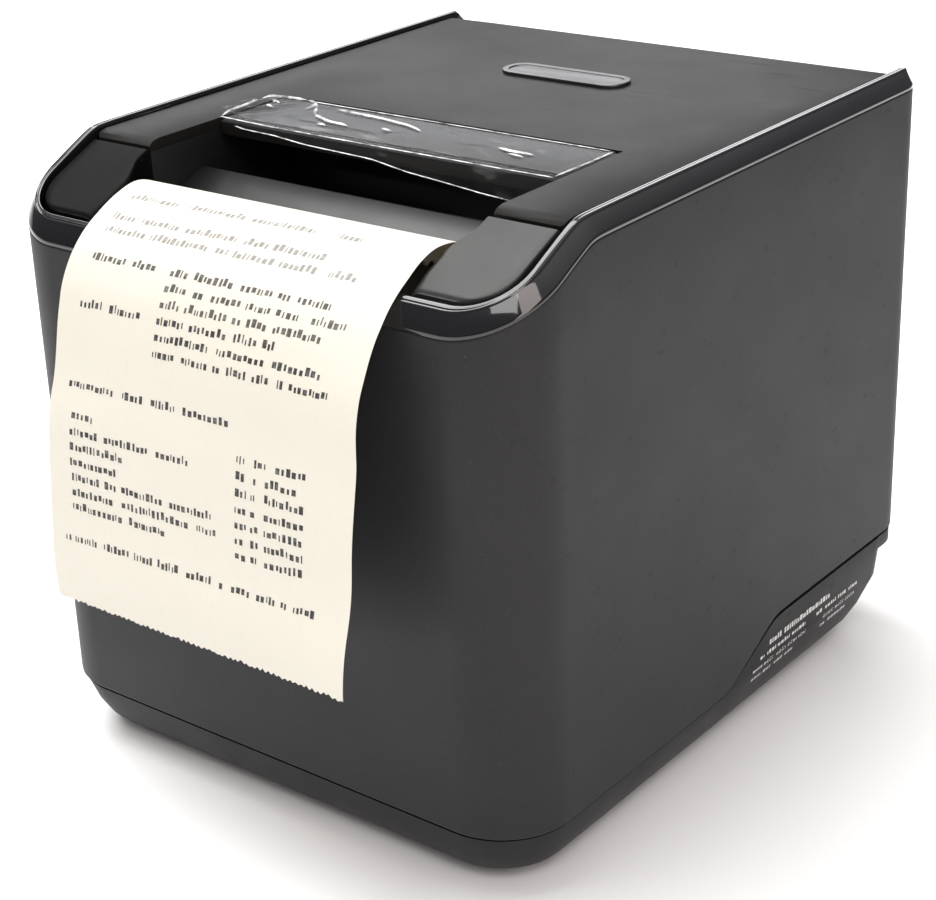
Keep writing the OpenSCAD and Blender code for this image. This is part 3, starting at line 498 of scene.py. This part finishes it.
# ------------------------------------------------------------------ case shell
rings = [lift(inset(1.0), lambda y: z_seam(y) + 0.0), lift(inset(0.45), lambda y: z_seam(y) + 0.02), lift(inset(0.18), lambda y: z_seam(y) + 0.12),
         lift(inset(0.04), lambda y: z_seam(y) + 0.32), lift(inset(0), lambda y: z_seam(y) + 0.6)]
for t in [i / 8 for i in range(1, 8)]:
    rings.append(lift(inset(0), lambda y, t=t: (z_seam(y) + 0.6) * (1 - t) + (z_case(y) - 0.5) * t))
rings += [lift(inset(0), lambda y: z_case(y) - 0.5), lift(inset(0.03), lambda y: z_case(y) - 0.25),
          lift(inset(0.14), lambda y: z_case(y) - 0.08), lift(inset(0.34), z_case)]
thin = loop(hw - wall, yf + wall, yb - 1.2, 16 - wall, 4.5)      # thin rear wall where the cover turns
rings += [lift(lerp(inset(0.34), thin, 0.7), z_case), lift(thin, z_case), lift(thin, lambda y: min(116, z_case(y) - 2)),
          lift(inset(wall), lambda y: min(116, z_case(y) - 2))]
for t in [i / 4 for i in range(1, 4)]:
    rings.append(lift(inset(wall), lambda y, t=t: min(116, z_case(y) - 2) * (1 - t) + z_seam(y) * t))
rings.append(lift(inset(wall), lambda y: z_seam(y)))
v, f = tube(rings)
for s in (-1, 1):                                   # screw bosses inside the corners
    for y in (-62, 52):
        z0 = 14.4 if y < 0 else 24.4
        ring = lambda rr, z: [(s * 54 + rr * math.cos(a * math.pi / 16), y + rr * math.sin(a * math.pi / 16), z) for a in range(32)]
        bv, bf = tube([ring(3.1, z0), ring(3.4, z0 + 0.3), ring(3.4, z0 + 19.7), ring(3.1, z0 + 20), ring(1.8, z0 + 20), ring(1.5, z0 + 19.7), ring(1.5, z0 + 0.3), ring(1.8, z0)])
        f += [tuple(i + len(v) for i in q) for q in bf]
        v += bv
        cuboid(v, f, (s * 60.1, y, z0 + 11.6), (5.9, 1.6, 16.8))
    cuboid(v, f, (s * (hw - wall - 1.2), -59.8, 107.2), (2.7, 5, 1.6))
case_shell = make("case_shell", v, f, "case", "case", sharp=40)
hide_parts("upper_case")

# ------------------------------------------------------------------ glossy rim
A = loop(hw, yf, yb, 16, 9)
B = loop(hw - 2.7, yf + 1.6, yb - 0.6, 13, 5)
C = loop(hw - 4.4, yf + 3, yb - 1.5, 10.4, 2.2)
D = loop(hw - wall, yf + wall, yb - 1.2, 16 - wall, 4.5)
Abv = [z_case(p[1]) + 0.75 for p in A]
Btp = [z_rim(p[1]) - 0.42 for p in B]
rings = [lift(lerp(A, D, 0.5), lambda y: z_case(y) + 0.02), lift(lerp(A, D, 0.06), lambda y: z_case(y) + 0.03),
         [(x, y, z_case(y) + 0.12) for x, y in lerp(A, D, 0.01)], lift(A, lambda y: z_case(y) + 0.4)]
for t in (0.0, 0.08, 0.3, 0.55, 0.8, 0.95, 1.0):
    L = lerp(A, B, t)
    bulge = 0.16 * math.sin(math.pi * t)
    rings.append([(x, y, Abv[i] + (Btp[i] - Abv[i]) * t + bulge) for i, (x, y) in enumerate(L)])
for t, dz in ((0.05, -0.22), (0.12, -0.09), (0.22, -0.02), (0.36, 0.0)):
    rings.append([(x, y, z_rim(B[i][1]) + dz) for i, (x, y) in enumerate(lerp(B, C, t))])
for t, dz in ((0.42, -0.05), (0.5, -0.09), (0.58, -0.05)):         # fine groove along the rim
    rings.append([(x, y, z_rim(y) + dz) for i, (x, y) in enumerate(lerp(B, C, t))])
for t, dz in ((0.64, 0.0), (0.86, 0.0), (0.95, -0.06), (1.0, -0.25)):
    rings.append([(x, y, z_rim(y) + dz) for i, (x, y) in enumerate(lerp(B, C, t))])
rings += [lift(C, lambda y: z_case(y) - 1.5), lift(lerp(C, D, 0.2), lambda y: z_case(y) - 1.6),
          lift(lerp(C, D, 0.95), lambda y: z_case(y) - 1.6), lift(D, lambda y: z_case(y) - 1.4), lift(D, lambda y: z_case(y) + 0.02)]
v, f = tube(rings)
rim = make("rim", v, f, "gloss", "case", sharp=50)
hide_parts("top_bezel")


# ------------------------------------------------------------------ keys with their inner corner rolled towards the paper
def key(name, s, node, body, mat):
    ys = [-52.95, -53.0, -53.15, -53.4] + [-53.4 - i * 0.6 for i in range(1, 19)]
    y0 = ys[-1]
    ys += [-64.3 - 8.5 * math.sin(math.radians(a)) for a in range(2, 90, 4)] + [-72.79]
    ys = sorted(set(ys), reverse=True)
    secs = []
    for y in ys:
        xo = 59.1 if y > -64.3 else 50.6 + math.sqrt(max(0, 8.5 ** 2 - (y + 64.3) ** 2))
        e = max(ease((-52.95 - y) / 0.45) if y > -53.4 else 1, 0)
        edge = 0.45 * (1 - e) + (0.5 * ease((-72.0 - y) / 0.79) if y < -72.0 else 0)
        r = 0.5 + 1.2 * ease((-58 - y) / 6) + 1.1 * ease((-68 - y) / 4.8)
        xi = 43.3 - 3.1 * ease((-55.5 - y) / 8)
        xe = min(xi + r, xo - 0.8)
        r = xe - xi
        zt = z_panel(y) - edge
        zlow = 117.2 if y < -56 else 121.6 - 4.4 * ease((-52.95 - y) / 3)
        sec = [(xo - 0.02, zt - 2.2), (xo, zt - 0.6), (xo - 0.04, zt - 0.3), (xo - 0.16, zt - 0.12), (xo - 0.4, zt)]
        sec += [(xo - 0.4 + (xe - xo + 0.4) * t, zt) for t in (0.12, 0.3, 0.5, 0.7, 0.88)]
        sec += [(xe - r * math.sin(math.radians(a)), zt - r * 1.05 * (1 - math.cos(math.radians(a)))) for a in range(0, 91, 6)]
        zb = sec[-1][1]
        sec += [(xi, zb + (zlow - zb) * t) for t in (0.35, 0.7, 1.0)]
        sec += [(xi + 1.6, zlow), (xi + 1.6, min(zt - 2.6, zb))]
        secs.append([(s * x, y, z) for x, z in sec])
    m = len(secs[0])
    verts = [p for q in secs for p in q]
    faces = []
    for j in range(len(secs) - 1):
        for i in range(m):
            i2 = (i + 1) % m
            faces.append((j * m + i, j * m + i2, (j + 1) * m + i2, (j + 1) * m + i))
    faces += [tuple(range(m)), tuple(range((len(secs) - 1) * m, len(secs) * m))[::-1]]

    def rod(axis, c, r, a, b2, n=24):
        b = len(verts)
        for t in (a, b2):
            for i in range(n):
                u, w = r * math.cos(2 * math.pi * i / n), r * math.sin(2 * math.pi * i / n)
                verts.append((t, c[0] + u, c[1] + w) if axis == "x" else (c[0] + u, c[1] + w, t))
        faces.extend([(b + i, b + (i + 1) % n, b + n + (i + 1) % n, b + n + i) for i in range(n)])
        faces.extend([tuple(range(b + n - 1, b - 1, -1)), tuple(range(b + n, b + 2 * n))])
    rod("x", (-54.8, 123.2), 1.5, s * 46, s * 58)
    rod("z", (s * 56, -64), 1.6, 114.6, 124.2)
    b = len(verts)
    for x in (s * 46, s * 58):
        verts.extend([(x, -56.3, 123.2), (x, -54.6, 123.2), (x, -54.6, 128), (x, -56.3, 128)])
    faces.extend([(b, b + 1, b + 2, b + 3), (b + 4, b + 7, b + 6, b + 5), (b, b + 4, b + 5, b + 1), (b + 1, b + 5, b + 6, b + 2), (b + 3, b + 2, b + 6, b + 7), (b, b + 3, b + 7, b + 4)])
    o = make(name, verts, faces, mat, body, sharp=42)
    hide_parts(node)
    return o


key("feed_key_cap", 1, "feed_key", "feed_button", "key_painted_lit")
key("power_key_cap", -1, "power_key", "power_button", "key_painted_shade")

# ------------------------------------------------------------------ other shells with small rounded edges
refined("lid", "cover", 0.45)
refined("lid_scoop", "cover", 0.45)
refined("scoop_cheeks", "cover", 0.25)
refined("release_flap", "flap", 0.35)
refined("base_tray", "case", 0.3)
refined("front_chute", "case", 0.4)
refined("top_badge", "cover", 0.12)
refined("hinge_brackets", "case", 0.3)
refined("roll_bucket", "case", 0.25)
refined("mech_chassis", "case", 0.15)
refined("cutter_housing", "case", 0.2)
refined("feed_motor", "case", 0.4)
refined("board_components", "case", 0.2)
refined("power_inlet", "case", 0.3)
refined("drawer_port", "case", 0.25)
refined("usb_port", "case", 0.2)
refined("serial_port", "case", 0.25)
refined("near_end_sensor", "case", 0.25)
refined("cover_switch", "case", 0.25)
refined("print_head", "head", 0.12)


# ------------------------------------------------------------------ printed strip
RIGHT = [(-48.4, 115.8), (-50.0, 119.0), (-52.6, 122.6), (-55.2, 125.0), (-58.2, 126.4), (-62.8, 126.9), (-65.7, 126.5), (-68.6, 125.4), (-70.4, 124.5), (-72.3, 123.2), (-74.5, 122.0),
         (-76.2, 120.7), (-78, 119.3), (-79.2, 117.9), (-80.5, 116.4), (-81.8, 115), (-82.8, 113.4), (-83.8, 111.9), (-84.6, 110.3), (-85.4, 108.7), (-86.3, 107.1),
         (-87, 105.5), (-87.6, 103.8), (-88, 102), (-88.4, 100.3), (-88.6, 98.5), (-88.7, 96.6), (-88.8, 92.7), (-89.1, 90.9), (-89.8, 87.3), (-90.5, 83.6), (-91.1, 80),
         (-91.6, 76.2), (-91.9, 72.2), (-92.1, 70.1), (-92.7, 66.5), (-93.7, 62.9), (-94.8, 59.3), (-95.6, 55.6), (-96.1, 51.7), (-96.2, 49.0)]
LEFT = [(-48.4, 115.8), (-50.0, 119.0), (-52.4, 122.3), (-54.6, 124.4), (-57.2, 125.6), (-59.5, 126.3), (-61.5, 126.3), (-63.5, 125.9), (-65.2, 125.4), (-67.5, 124.6), (-69.6, 123.7), (-71, 122.9), (-73.7, 121.5),
        (-75.4, 120.4), (-76.9, 119.2), (-78.5, 117.7), (-80.1, 115.9), (-81.7, 113.5), (-82.7, 111.7), (-83.5, 109.9), (-84.3, 107), (-85.2, 104.1), (-86, 100.2),
        (-86.9, 96.2), (-87.4, 94.3), (-88, 92.3), (-88.8, 90.4), (-89.5, 88.5), (-90.1, 86.6), (-90.5, 84.6), (-91.3, 78.3), (-92.4, 67.8), (-93, 60.8), (-93.6, 54.8),
        (-93.6, 50.0), (-93.2, 46.2)]


def spaced(pts, n):
    d = [0]
    for a, b in zip(pts, pts[1:]):
        d.append(d[-1] + math.dist(a, b))
    out, j = [], 0
    for i in range(n):
        t = d[-1] * i / (n - 1)
        while j < len(d) - 2 and d[j + 1] < t:
            j += 1
        k = (t - d[j]) / (d[j + 1] - d[j])
        out.append((pts[j][0] + (pts[j + 1][0] - pts[j][0]) * k, pts[j][1] + (pts[j + 1][1] - pts[j][1]) * k))
    for _ in range(6):
        out = [out[0]] + [((a[0] + 2 * b[0] + c[0]) / 4, (a[1] + 2 * b[1] + c[1]) / 4) for a, b, c in zip(out, out[1:], out[2:])] + [out[-1]]
    return out, d[-1]


NV, NU = 150, 60
PR, LR = spaced(RIGHT, NV)
PL, LL = spaced(LEFT, NV)
SKIP = 15.3            # the measured strip starts this far along from the slot


def on_strip(u, t, out=0.0):
    """Point on the strip: u in mm across from the middle, t from 0 at the slot to 1 at the torn end."""
    w = (u + 39.75) / 79.5
    x = min(max(t, 0), 1) * (NV - 1)
    j = min(int(x), NV - 2)
    k = x - j

    def at(j):
        return (PL[j][0] * (1 - w) + PR[j][0] * w, PL[j][1] * (1 - w) + PR[j][1] * w)
    a, b = at(j), at(j + 1)
    y, z = a[0] + (b[0] - a[0]) * k, a[1] + (b[1] - a[1]) * k
    ty, tz = b[0] - a[0], b[1] - a[1]
    L = math.hypot(ty, tz) or 1
    ny, nz = tz / L, -ty / L
    if t > 0.3:        # very slight bow and ripple across the sheet
        amp = ease((t - 0.3) / 0.5)
        out += amp * (0.35 * math.sin(w * 3.1 + 0.4) + 0.10 * math.sin(w * 9 + t * 7))
    return (u, y - ny * out, z - nz * out)


def rough_edge(u):
    saw = abs(((u / 1.45) % 1.0) - 0.5) * 2
    return 0.55 * saw + 0.5 * noise.noise(Vector((u * 0.35, 2.0, 0))) + 0.35 * noise.noise(Vector((u * 1.3, 7.0, 0)))


us = [-39.75 + 79.5 * i / 220 for i in range(221)]
verts, faces = [], []
for side in (0.0, 0.09):
    for j in range(NV):
        t = j / (NV - 1)
        for u in us:
            tt = t
            if t > 0.96:
                tt = t - (t - 0.96) / 0.04 * (rough_edge(u) / 112)
            verts.append(on_strip(u, tt, side))
W = len(us)
for k in (0, 1):
    o = k * NV * W
    for j in range(NV - 1):
        for i in range(W - 1):
            q = (o + j * W + i, o + j * W + i + 1, o + (j + 1) * W + i + 1, o + (j + 1) * W + i)
            faces.append(q if k else q[::-1])
o = NV * W
for j in range(NV - 1):
    for i in (0, W - 1):
        faces.append((j * W + i, (j + 1) * W + i, o + (j + 1) * W + i, o + j * W + i))
for i in range(W - 1):
    for j in (0, NV - 1):
        faces.append((j * W + i, j * W + i + 1, o + j * W + i + 1, o + j * W + i))
strip = make("printed_strip", verts, faces, "paper", "case", sharp=60)
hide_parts("receipt_strip")

# Rows of plain blocks where the printing is: (row in mm from the strip's visible start, spans in mm from its left edge)
P, Q = 7.547, 8.19
ROWS = [(62, [(35, 130), (155, 265), (280, 400), (440, 485)], 3), (112, [(35, 80), (95, 170), (185, 290), (300, 345), (355, 450)], 3),
        (140, [(40, 120), (132, 250), (262, 285), (297, 372), (384, 450), (475, 525)], 3),
        (193, [(45, 115), (128, 180), (205, 240), (252, 330), (342, 400), (412, 436), (448, 508)], 2),
        (220, [(205, 250), (262, 285), (297, 352), (364, 408), (420, 465), (485, 545)], 2),
        (246, [(205, 242), (254, 335), (347, 362), (374, 412), (424, 510)], 2),
        (273, [(45, 95), (107, 170), (205, 258), (270, 345), (357, 400), (412, 438)], 1),
        (299, [(205, 318), (330, 425), (437, 525)], 1), (326, [(205, 252), (264, 315), (327, 342), (354, 392), (404, 440), (452, 462), (474, 550)], 1),
        (407, [(35, 130), (148, 195), (207, 258), (272, 368)], 0),
        (460, [(48, 95), (383, 405), (417, 445), (457, 512)], 1), (487, [(45, 105), (117, 212), (224, 293), (383, 405), (417, 427), (439, 502)], 1),
        (513, [(45, 155), (383, 405), (413, 427), (439, 512)], 1), (540, [(45, 145), (383, 405), (413, 427), (439, 512)], 1),
        (566, [(48, 105), (117, 140), (152, 240), (252, 342), (383, 405), (413, 427), (439, 512)], 1),
        (592, [(48, 140), (152, 295), (307, 345), (383, 405), (413, 427), (439, 512)], 1),
        (618, [(48, 155), (167, 243), (383, 405), (413, 427), (439, 512)], 1),
        (675, [(30, 42), (50, 100), (112, 165), (177, 215), (227, 275), (287, 342), (354, 366), (378, 415), (427, 462), (474, 484), (498, 537)], 1)]
rnd = random.Random(7)
T0 = SKIP / (97.7 + SKIP)


def blocks(name, wanted, mat):
    verts, faces = [], []
    for row, spans, tone in ROWS:
        if tone != wanted:
            continue
        for a, b in spans:
            x, end = a / P - 39.75, b / P - 39.75
            while x < end - 0.4:
                w = min(rnd.choice((0.3, 0.55, 0.8, 1.0)), end - x)
                h = rnd.choice((1.05, 1.2, 1.2, 1.6))
                up = rnd.choice((0, 0, 0.25))
                base = row / Q + 1.0
                n = 3
                for i in range(n):
                    za, zb = base - up - h * (1 - i / n), base - up - h * (1 - (i + 1) / n)
                    c = len(verts)
                    for uu, vv in ((x, za), (x + w, za), (x + w, zb), (x, zb)):
                        verts.append(on_strip(uu, T0 + vv / (97.7 + SKIP), -0.03))
                    faces.append((c, c + 1, c + 2, c + 3))
                x += w + rnd.choice((0.35, 0.5, 0.6))
    o = make(name, verts, faces, mat, "case", smooth=False)
    return o


blocks("print_rows_bold", 0, "ink1")
blocks("print_rows_dark", 1, "ink1")
blocks("print_rows_mid", 2, "ink2")
blocks("print_rows_faint", 3, "ink3")

# ------------------------------------------------------------------ rating marks on the skirt of the base
SK = [(3, 59.6), (4.6, 61.1), (8, 62.8), (14, 64.6), (24, 65.0), (30, 65.0)]


def skirt_x(z):
    for (z0, x0), (z1, x1) in zip(SK, SK[1:]):
        if z <= z1:
            return x0 + (x1 - x0) * (z - z0) / (z1 - z0)
    return 65.0


verts, faces = [], []
for z, h, spans in ((18.5, 1.35, [(15, 20.4), (21.4, 42.3)]), (16.1, 0.95, [(11.3, 13), (14.2, 18.0), (18.8, 24), (25, 31), (36, 39), (40, 45), (46, 50), (51, 55.5)]),
                    (13.9, 0.95, [(8.5, 12.4), (13.2, 17), (18.6, 22.6), (23.6, 27.4), (28.2, 31.4), (39.5, 44), (45, 49), (49.8, 54)]),
                    (11.4, 0.95, [(9, 13), (14, 17.4), (18.8, 22.4), (23.4, 26.8), (39.5, 42), (43, 51.5)])):
    for a, b in spans:
        y = a
        while y < b - 0.2:
            w = min(rnd.choice((0.5, 0.8, 1.1)), b - y)
            hh = h * rnd.choice((0.75, 0.9, 1.0))
            c = len(verts)
            for yy, zz in ((y, z - h / 2), (y + w, z - h / 2), (y + w, z - h / 2 + hh), (y, z - h / 2 + hh)):
                verts.append((skirt_x(zz) + 0.03, yy, zz))
            faces.append((c, c + 1, c + 2, c + 3))
            y += w + 0.35
make("rating_marks", verts, faces, "mark", "case", smooth=False)

# ------------------------------------------------------------------ clear film left on the flap
verts, faces = [], []
FU, FV = 150, 46
for j in range(FV):
    b = j / (FV - 1)
    for i in range(FU):
        a = i / (FU - 1)
        x = -45.6 + 88.6 * a
        left = ease((0.13 - a) / 0.13)
        hang = 0.9 + 4.3 * ease(a * 1.15) + 0.5 * math.sin(a * 9)
        if b < 0.70:                       # over the flap
            t = b / 0.70
            y = -11.3 - 6.0 * ease((0.07 - a) / 0.07) * (1 - t) - (20.2 - 1.6 * left) * t - 0.8 * left * math.sin(t * 5)
            z = 131.72 + (0.35 * ease((-42.5 - x) / 1.5) if x < -42.5 else 0)
            w = 0.35 + 0.65 * left
            z += w * max(0, noise.noise(Vector((x * 0.06 + 3, y * 0.20, 1.7)))) * 0.30
            z += (0.02 + 0.4 * left) * max(0, noise.noise(Vector((x * 0.35, y * 0.6, 4.0))))
            z += left * (0.4 + 0.7 * abs(math.sin(t * 6.5 + x * 0.5)))
            z += 0.5 * math.exp(-((t - 0.97) / 0.05) ** 2) * (0.6 + 0.5 * noise.noise(Vector((x * 0.2, 9, 0))))
            z -= 0.04 if t < 0.02 else 0
        else:                              # the free edge hangs over the front
            t = (b - 0.70) / 0.30
            y = -31.5 - (0.3 + 1.1 * a) * math.sin(t * math.pi / 2) + 1.6 * left
            y -= 0.35 * noise.noise(Vector((x * 0.16, t * 2.0, 5.0))) * t
            z = 131.9 - hang * t ** 1.15
        verts.append((x, y, z))
for j in range(FV - 1):
    for i in range(FU - 1):
        faces.append((j * FU + i, j * FU + i + 1, (j + 1) * FU + i + 1, (j + 1) * FU + i))
film_o = make("clear_film", verts, faces, "film", "flap", sharp=None)


def crease(name, paths):
    """Raised folds of the film, coloured milky white as painted highlights: thin tents that taper to nothing at each
    end.
    """
    verts, faces = [], []
    for pts, width, high in paths:
        fine = []
        for a, b in zip(pts, pts[1:]):
            k = max(4, int(math.dist(a, b) / 0.35))
            fine += [tuple(a[q] + (b[q] - a[q]) * i / k for q in range(3)) for i in range(k)]
        fine.append(pts[-1])
        for _ in range(12):
            fine = [fine[0]] + [tuple((a[q] + 2 * b[q] + c[q]) / 4 for q in range(3)) for a, b, c in zip(fine, fine[1:], fine[2:])] + [fine[-1]]
        base, n = len(verts), len(fine)
        for i, q in enumerate(fine):
            a, b = fine[max(0, i - 1)], fine[min(n - 1, i + 1)]
            dx, dy = b[0] - a[0], b[1] - a[1]
            L = math.hypot(dx, dy) or 1
            taper = min(1, i / 5 + 0.1, (n - 1 - i) / 5 + 0.1)
            w = width * taper * (0.65 + 0.7 * abs(noise.noise(Vector((q[0] * 0.7, q[1] * 0.7, width)))))
            for k, h in ((-0.5, 0), (-0.25, 0.7), (0, 1), (0.25, 0.7), (0.5, 0)):
                verts.append((q[0] - dy / L * w * k, q[1] + dx / L * w * k, q[2] + high * h * taper))
        faces += [(base + i * 5 + k, base + i * 5 + k + 1, base + i * 5 + k + 6, base + i * 5 + k + 5) for i in range(n - 1) for k in range(4)]
    return make(name, verts, faces, "crease", "flap")


top = 131.95
# the bright lines and blobs on the film are painted highlights: raised folds in a milky white colour, placed where
# glints fall
crease("film_folds_painted_glints", [
    ([(-36.5, -11.4, top), (-34, -12.0, top), (-30.5, -15.5, top), (-27, -20, top), (-21, -22.6, top), (-15.5, -23, top)], 1.0, 0.35),
    ([(-45.2, -16.5, top + 0.5), (-44.3, -14.2, top + 0.6), (-41.5, -13.6, top + 0.5), (-38, -12.2, top + 0.2), (-36.5, -11.4, top)], 0.8, 0.4),
    ([(-42.6, -16.2, top + 0.5), (-39.6, -17.0, top + 0.3)], 1.3, 0.4),
    ([(-41.2, -19.6, top + 0.4), (-38.4, -20.2, top + 0.2)], 1.1, 0.4),
    ([(-45.5, -17.5, top + 0.4), (-45.0, -22, top + 0.3), (-45.2, -27, top + 0.1), (-44.0, -30.4, top)], 0.7, 0.35),
    ([(-25.5, -14.3, top), (-13, -15.2, top), (-4, -16.8, top), (0.5, -18.8, top)], 0.75, 0.3),
    ([(-34, -13.4, top), (-31.6, -14.6, top), (-32.4, -17, top)], 0.9, 0.3),
    ([(-8.2, -20.9, top), (-6.6, -21.6, top), (-5.0, -21.4, top)], 1.5, 0.35),
    ([(-22.5, -24.6, top), (-19.5, -25.2, top)], 1.3, 0.3),
    ([(21.5, -20.7, top), (25, -21.6, top), (30.5, -21.4, top)], 0.95, 0.3),
    ([(25.5, -23.1, top), (29.8, -23.6, top)], 0.7, 0.25),
    ([(-44.5, -30.6, top - 0.1), (-30, -31.5, top - 0.1), (0, -31.8, top - 0.1), (30, -31.9, top - 0.1), (42.6, -31.7, top - 0.1)], 0.42, 0.12),
    ([(-45.6 + 8.86 * q, -31.9 - 0.11 * q + 1.6 * ease((1.3 - q) / 1.3), 132.0 - (0.9 + 4.3 * ease(q * 0.115) + 0.5 * math.sin(q * 0.9) + 0.25 * math.sin(q * 2.3))) for q in range(11)], 0.36, 0.15),
    ([(42.5, -11.5, 131.8), (42.6, -18, 131.8), (42.5, -25, 131.8), (42.3, -31.2, 131.8)], 0.5, 0.2),
    ([(-36, -11.5, 131.85), (-10, -11.5, 131.85), (20, -11.5, 131.85), (42.0, -11.5, 131.85)], 0.3, 0.1),
])

# ------------------------------------------------------------------ camera
yaw, pitch, roll = 0.69290, 0.41580, -0.04630
d = Vector((-math.sin(yaw) * math.cos(pitch), math.cos(yaw) * math.cos(pitch), -math.sin(pitch)))
right = Vector((math.cos(yaw), math.sin(yaw), 0))
up = right.cross(d)
cx_ = right * math.cos(roll) + up * math.sin(roll)
cy_ = -right * math.sin(roll) + up * math.cos(roll)
cam_data = bpy.data.cameras.new("camera")
cam = bpy.data.objects.new("camera", cam_data)
scene.collection.objects.link(cam)
m = Matrix((cx_, cy_, -d)).transposed().to_4x4()
m.translation = Vector((0.2664256, -0.3441068 + S, 0.2457255))
cam.matrix_world = m
cam_data.sensor_width = 36
cam_data.lens = 2121.6 * 36 / 936
cam_data.shift_x = (468 - 420) / 936
cam_data.shift_y = (455 - 450) / 936
cam_data.clip_start, cam_data.clip_end = 0.01, 20
scene.camera = cam


# ------------------------------------------------------------------ light
def area(name, loc, target, size, power, color=(1, 1, 1), size_y=None):
    l = bpy.data.lights.new(name, "AREA")
    l.shape = "RECTANGLE"
    l.size, l.size_y = size, size_y or size
    l.energy, l.color = power, color
    o = bpy.data.objects.new(name, l)
    scene.collection.objects.link(o)
    o.location = loc
    o.rotation_mode = "QUATERNION"
    o.rotation_quaternion = (Vector(target) - Vector(loc)).to_track_quat("-Z", "Y")
    return o


world = bpy.data.worlds.new("studio")
scene.world = world
world.use_nodes = True
wt = world.node_tree
bg = wt.nodes["Background"]
tc = wt.nodes.new("ShaderNodeTexCoord")
sp = wt.nodes.new("ShaderNodeSeparateXYZ")
cr = wt.nodes.new("ShaderNodeValToRGB")
wt.links.new(tc.outputs["Generated"], sp.inputs[0])
wt.links.new(sp.outputs[2], cr.inputs[0])
wt.links.new(cr.outputs[0], bg.inputs[0])
cr.color_ramp.elements[0].position, cr.color_ramp.elements[0].color = 0.0, (0.10, 0.10, 0.105, 1)
cr.color_ramp.elements[1].position, cr.color_ramp.elements[1].color = 0.95, (1, 1, 1, 1)
e = cr.color_ramp.elements.new(0.45)
e.color = (0.22, 0.22, 0.23, 1)
bg.inputs[1].default_value = 0.9
scene.view_settings.view_transform = "Standard"
area("top_soft", (-0.55, 0.02, 1.45), (0, 0, 0.05), 1.3, 31, (1, 0.995, 0.985))
area("back_soft", (-1.05, 1.27, 0.80), (0, 0, 0.12), 1.4, 9.0, (0.98, 0.985, 1), 0.6)
area("front_soft", (0.75, -0.95, 1.25), (0.12, -0.15, 0.0), 0.7, 6.5, (1, 0.985, 0.97))
area("right_window", (0.93, -0.42, 0.62), (0.02, -0.02, 0.09), 0.36, 4.5, (1, 0.90, 0.86), 1.1)

me = bpy.data.meshes.new("floor")
me.from_pydata([(-6, -6, 0), (6, -6, 0), (6, 6, 0), (-6, 6, 0)], [], [(0, 1, 2, 3)])
floor = bpy.data.objects.new("floor", me)
scene.collection.objects.link(floor)
fm = bpy.data.materials.new("floor_pale")
fm.use_nodes = True
fm.node_tree.nodes["Principled BSDF"].inputs["Base Color"].default_value = (0.96, 0.955, 0.95, 1)
fm.node_tree.nodes["Principled BSDF"].inputs["Roughness"].default_value = 0.7
me.materials.append(fm)
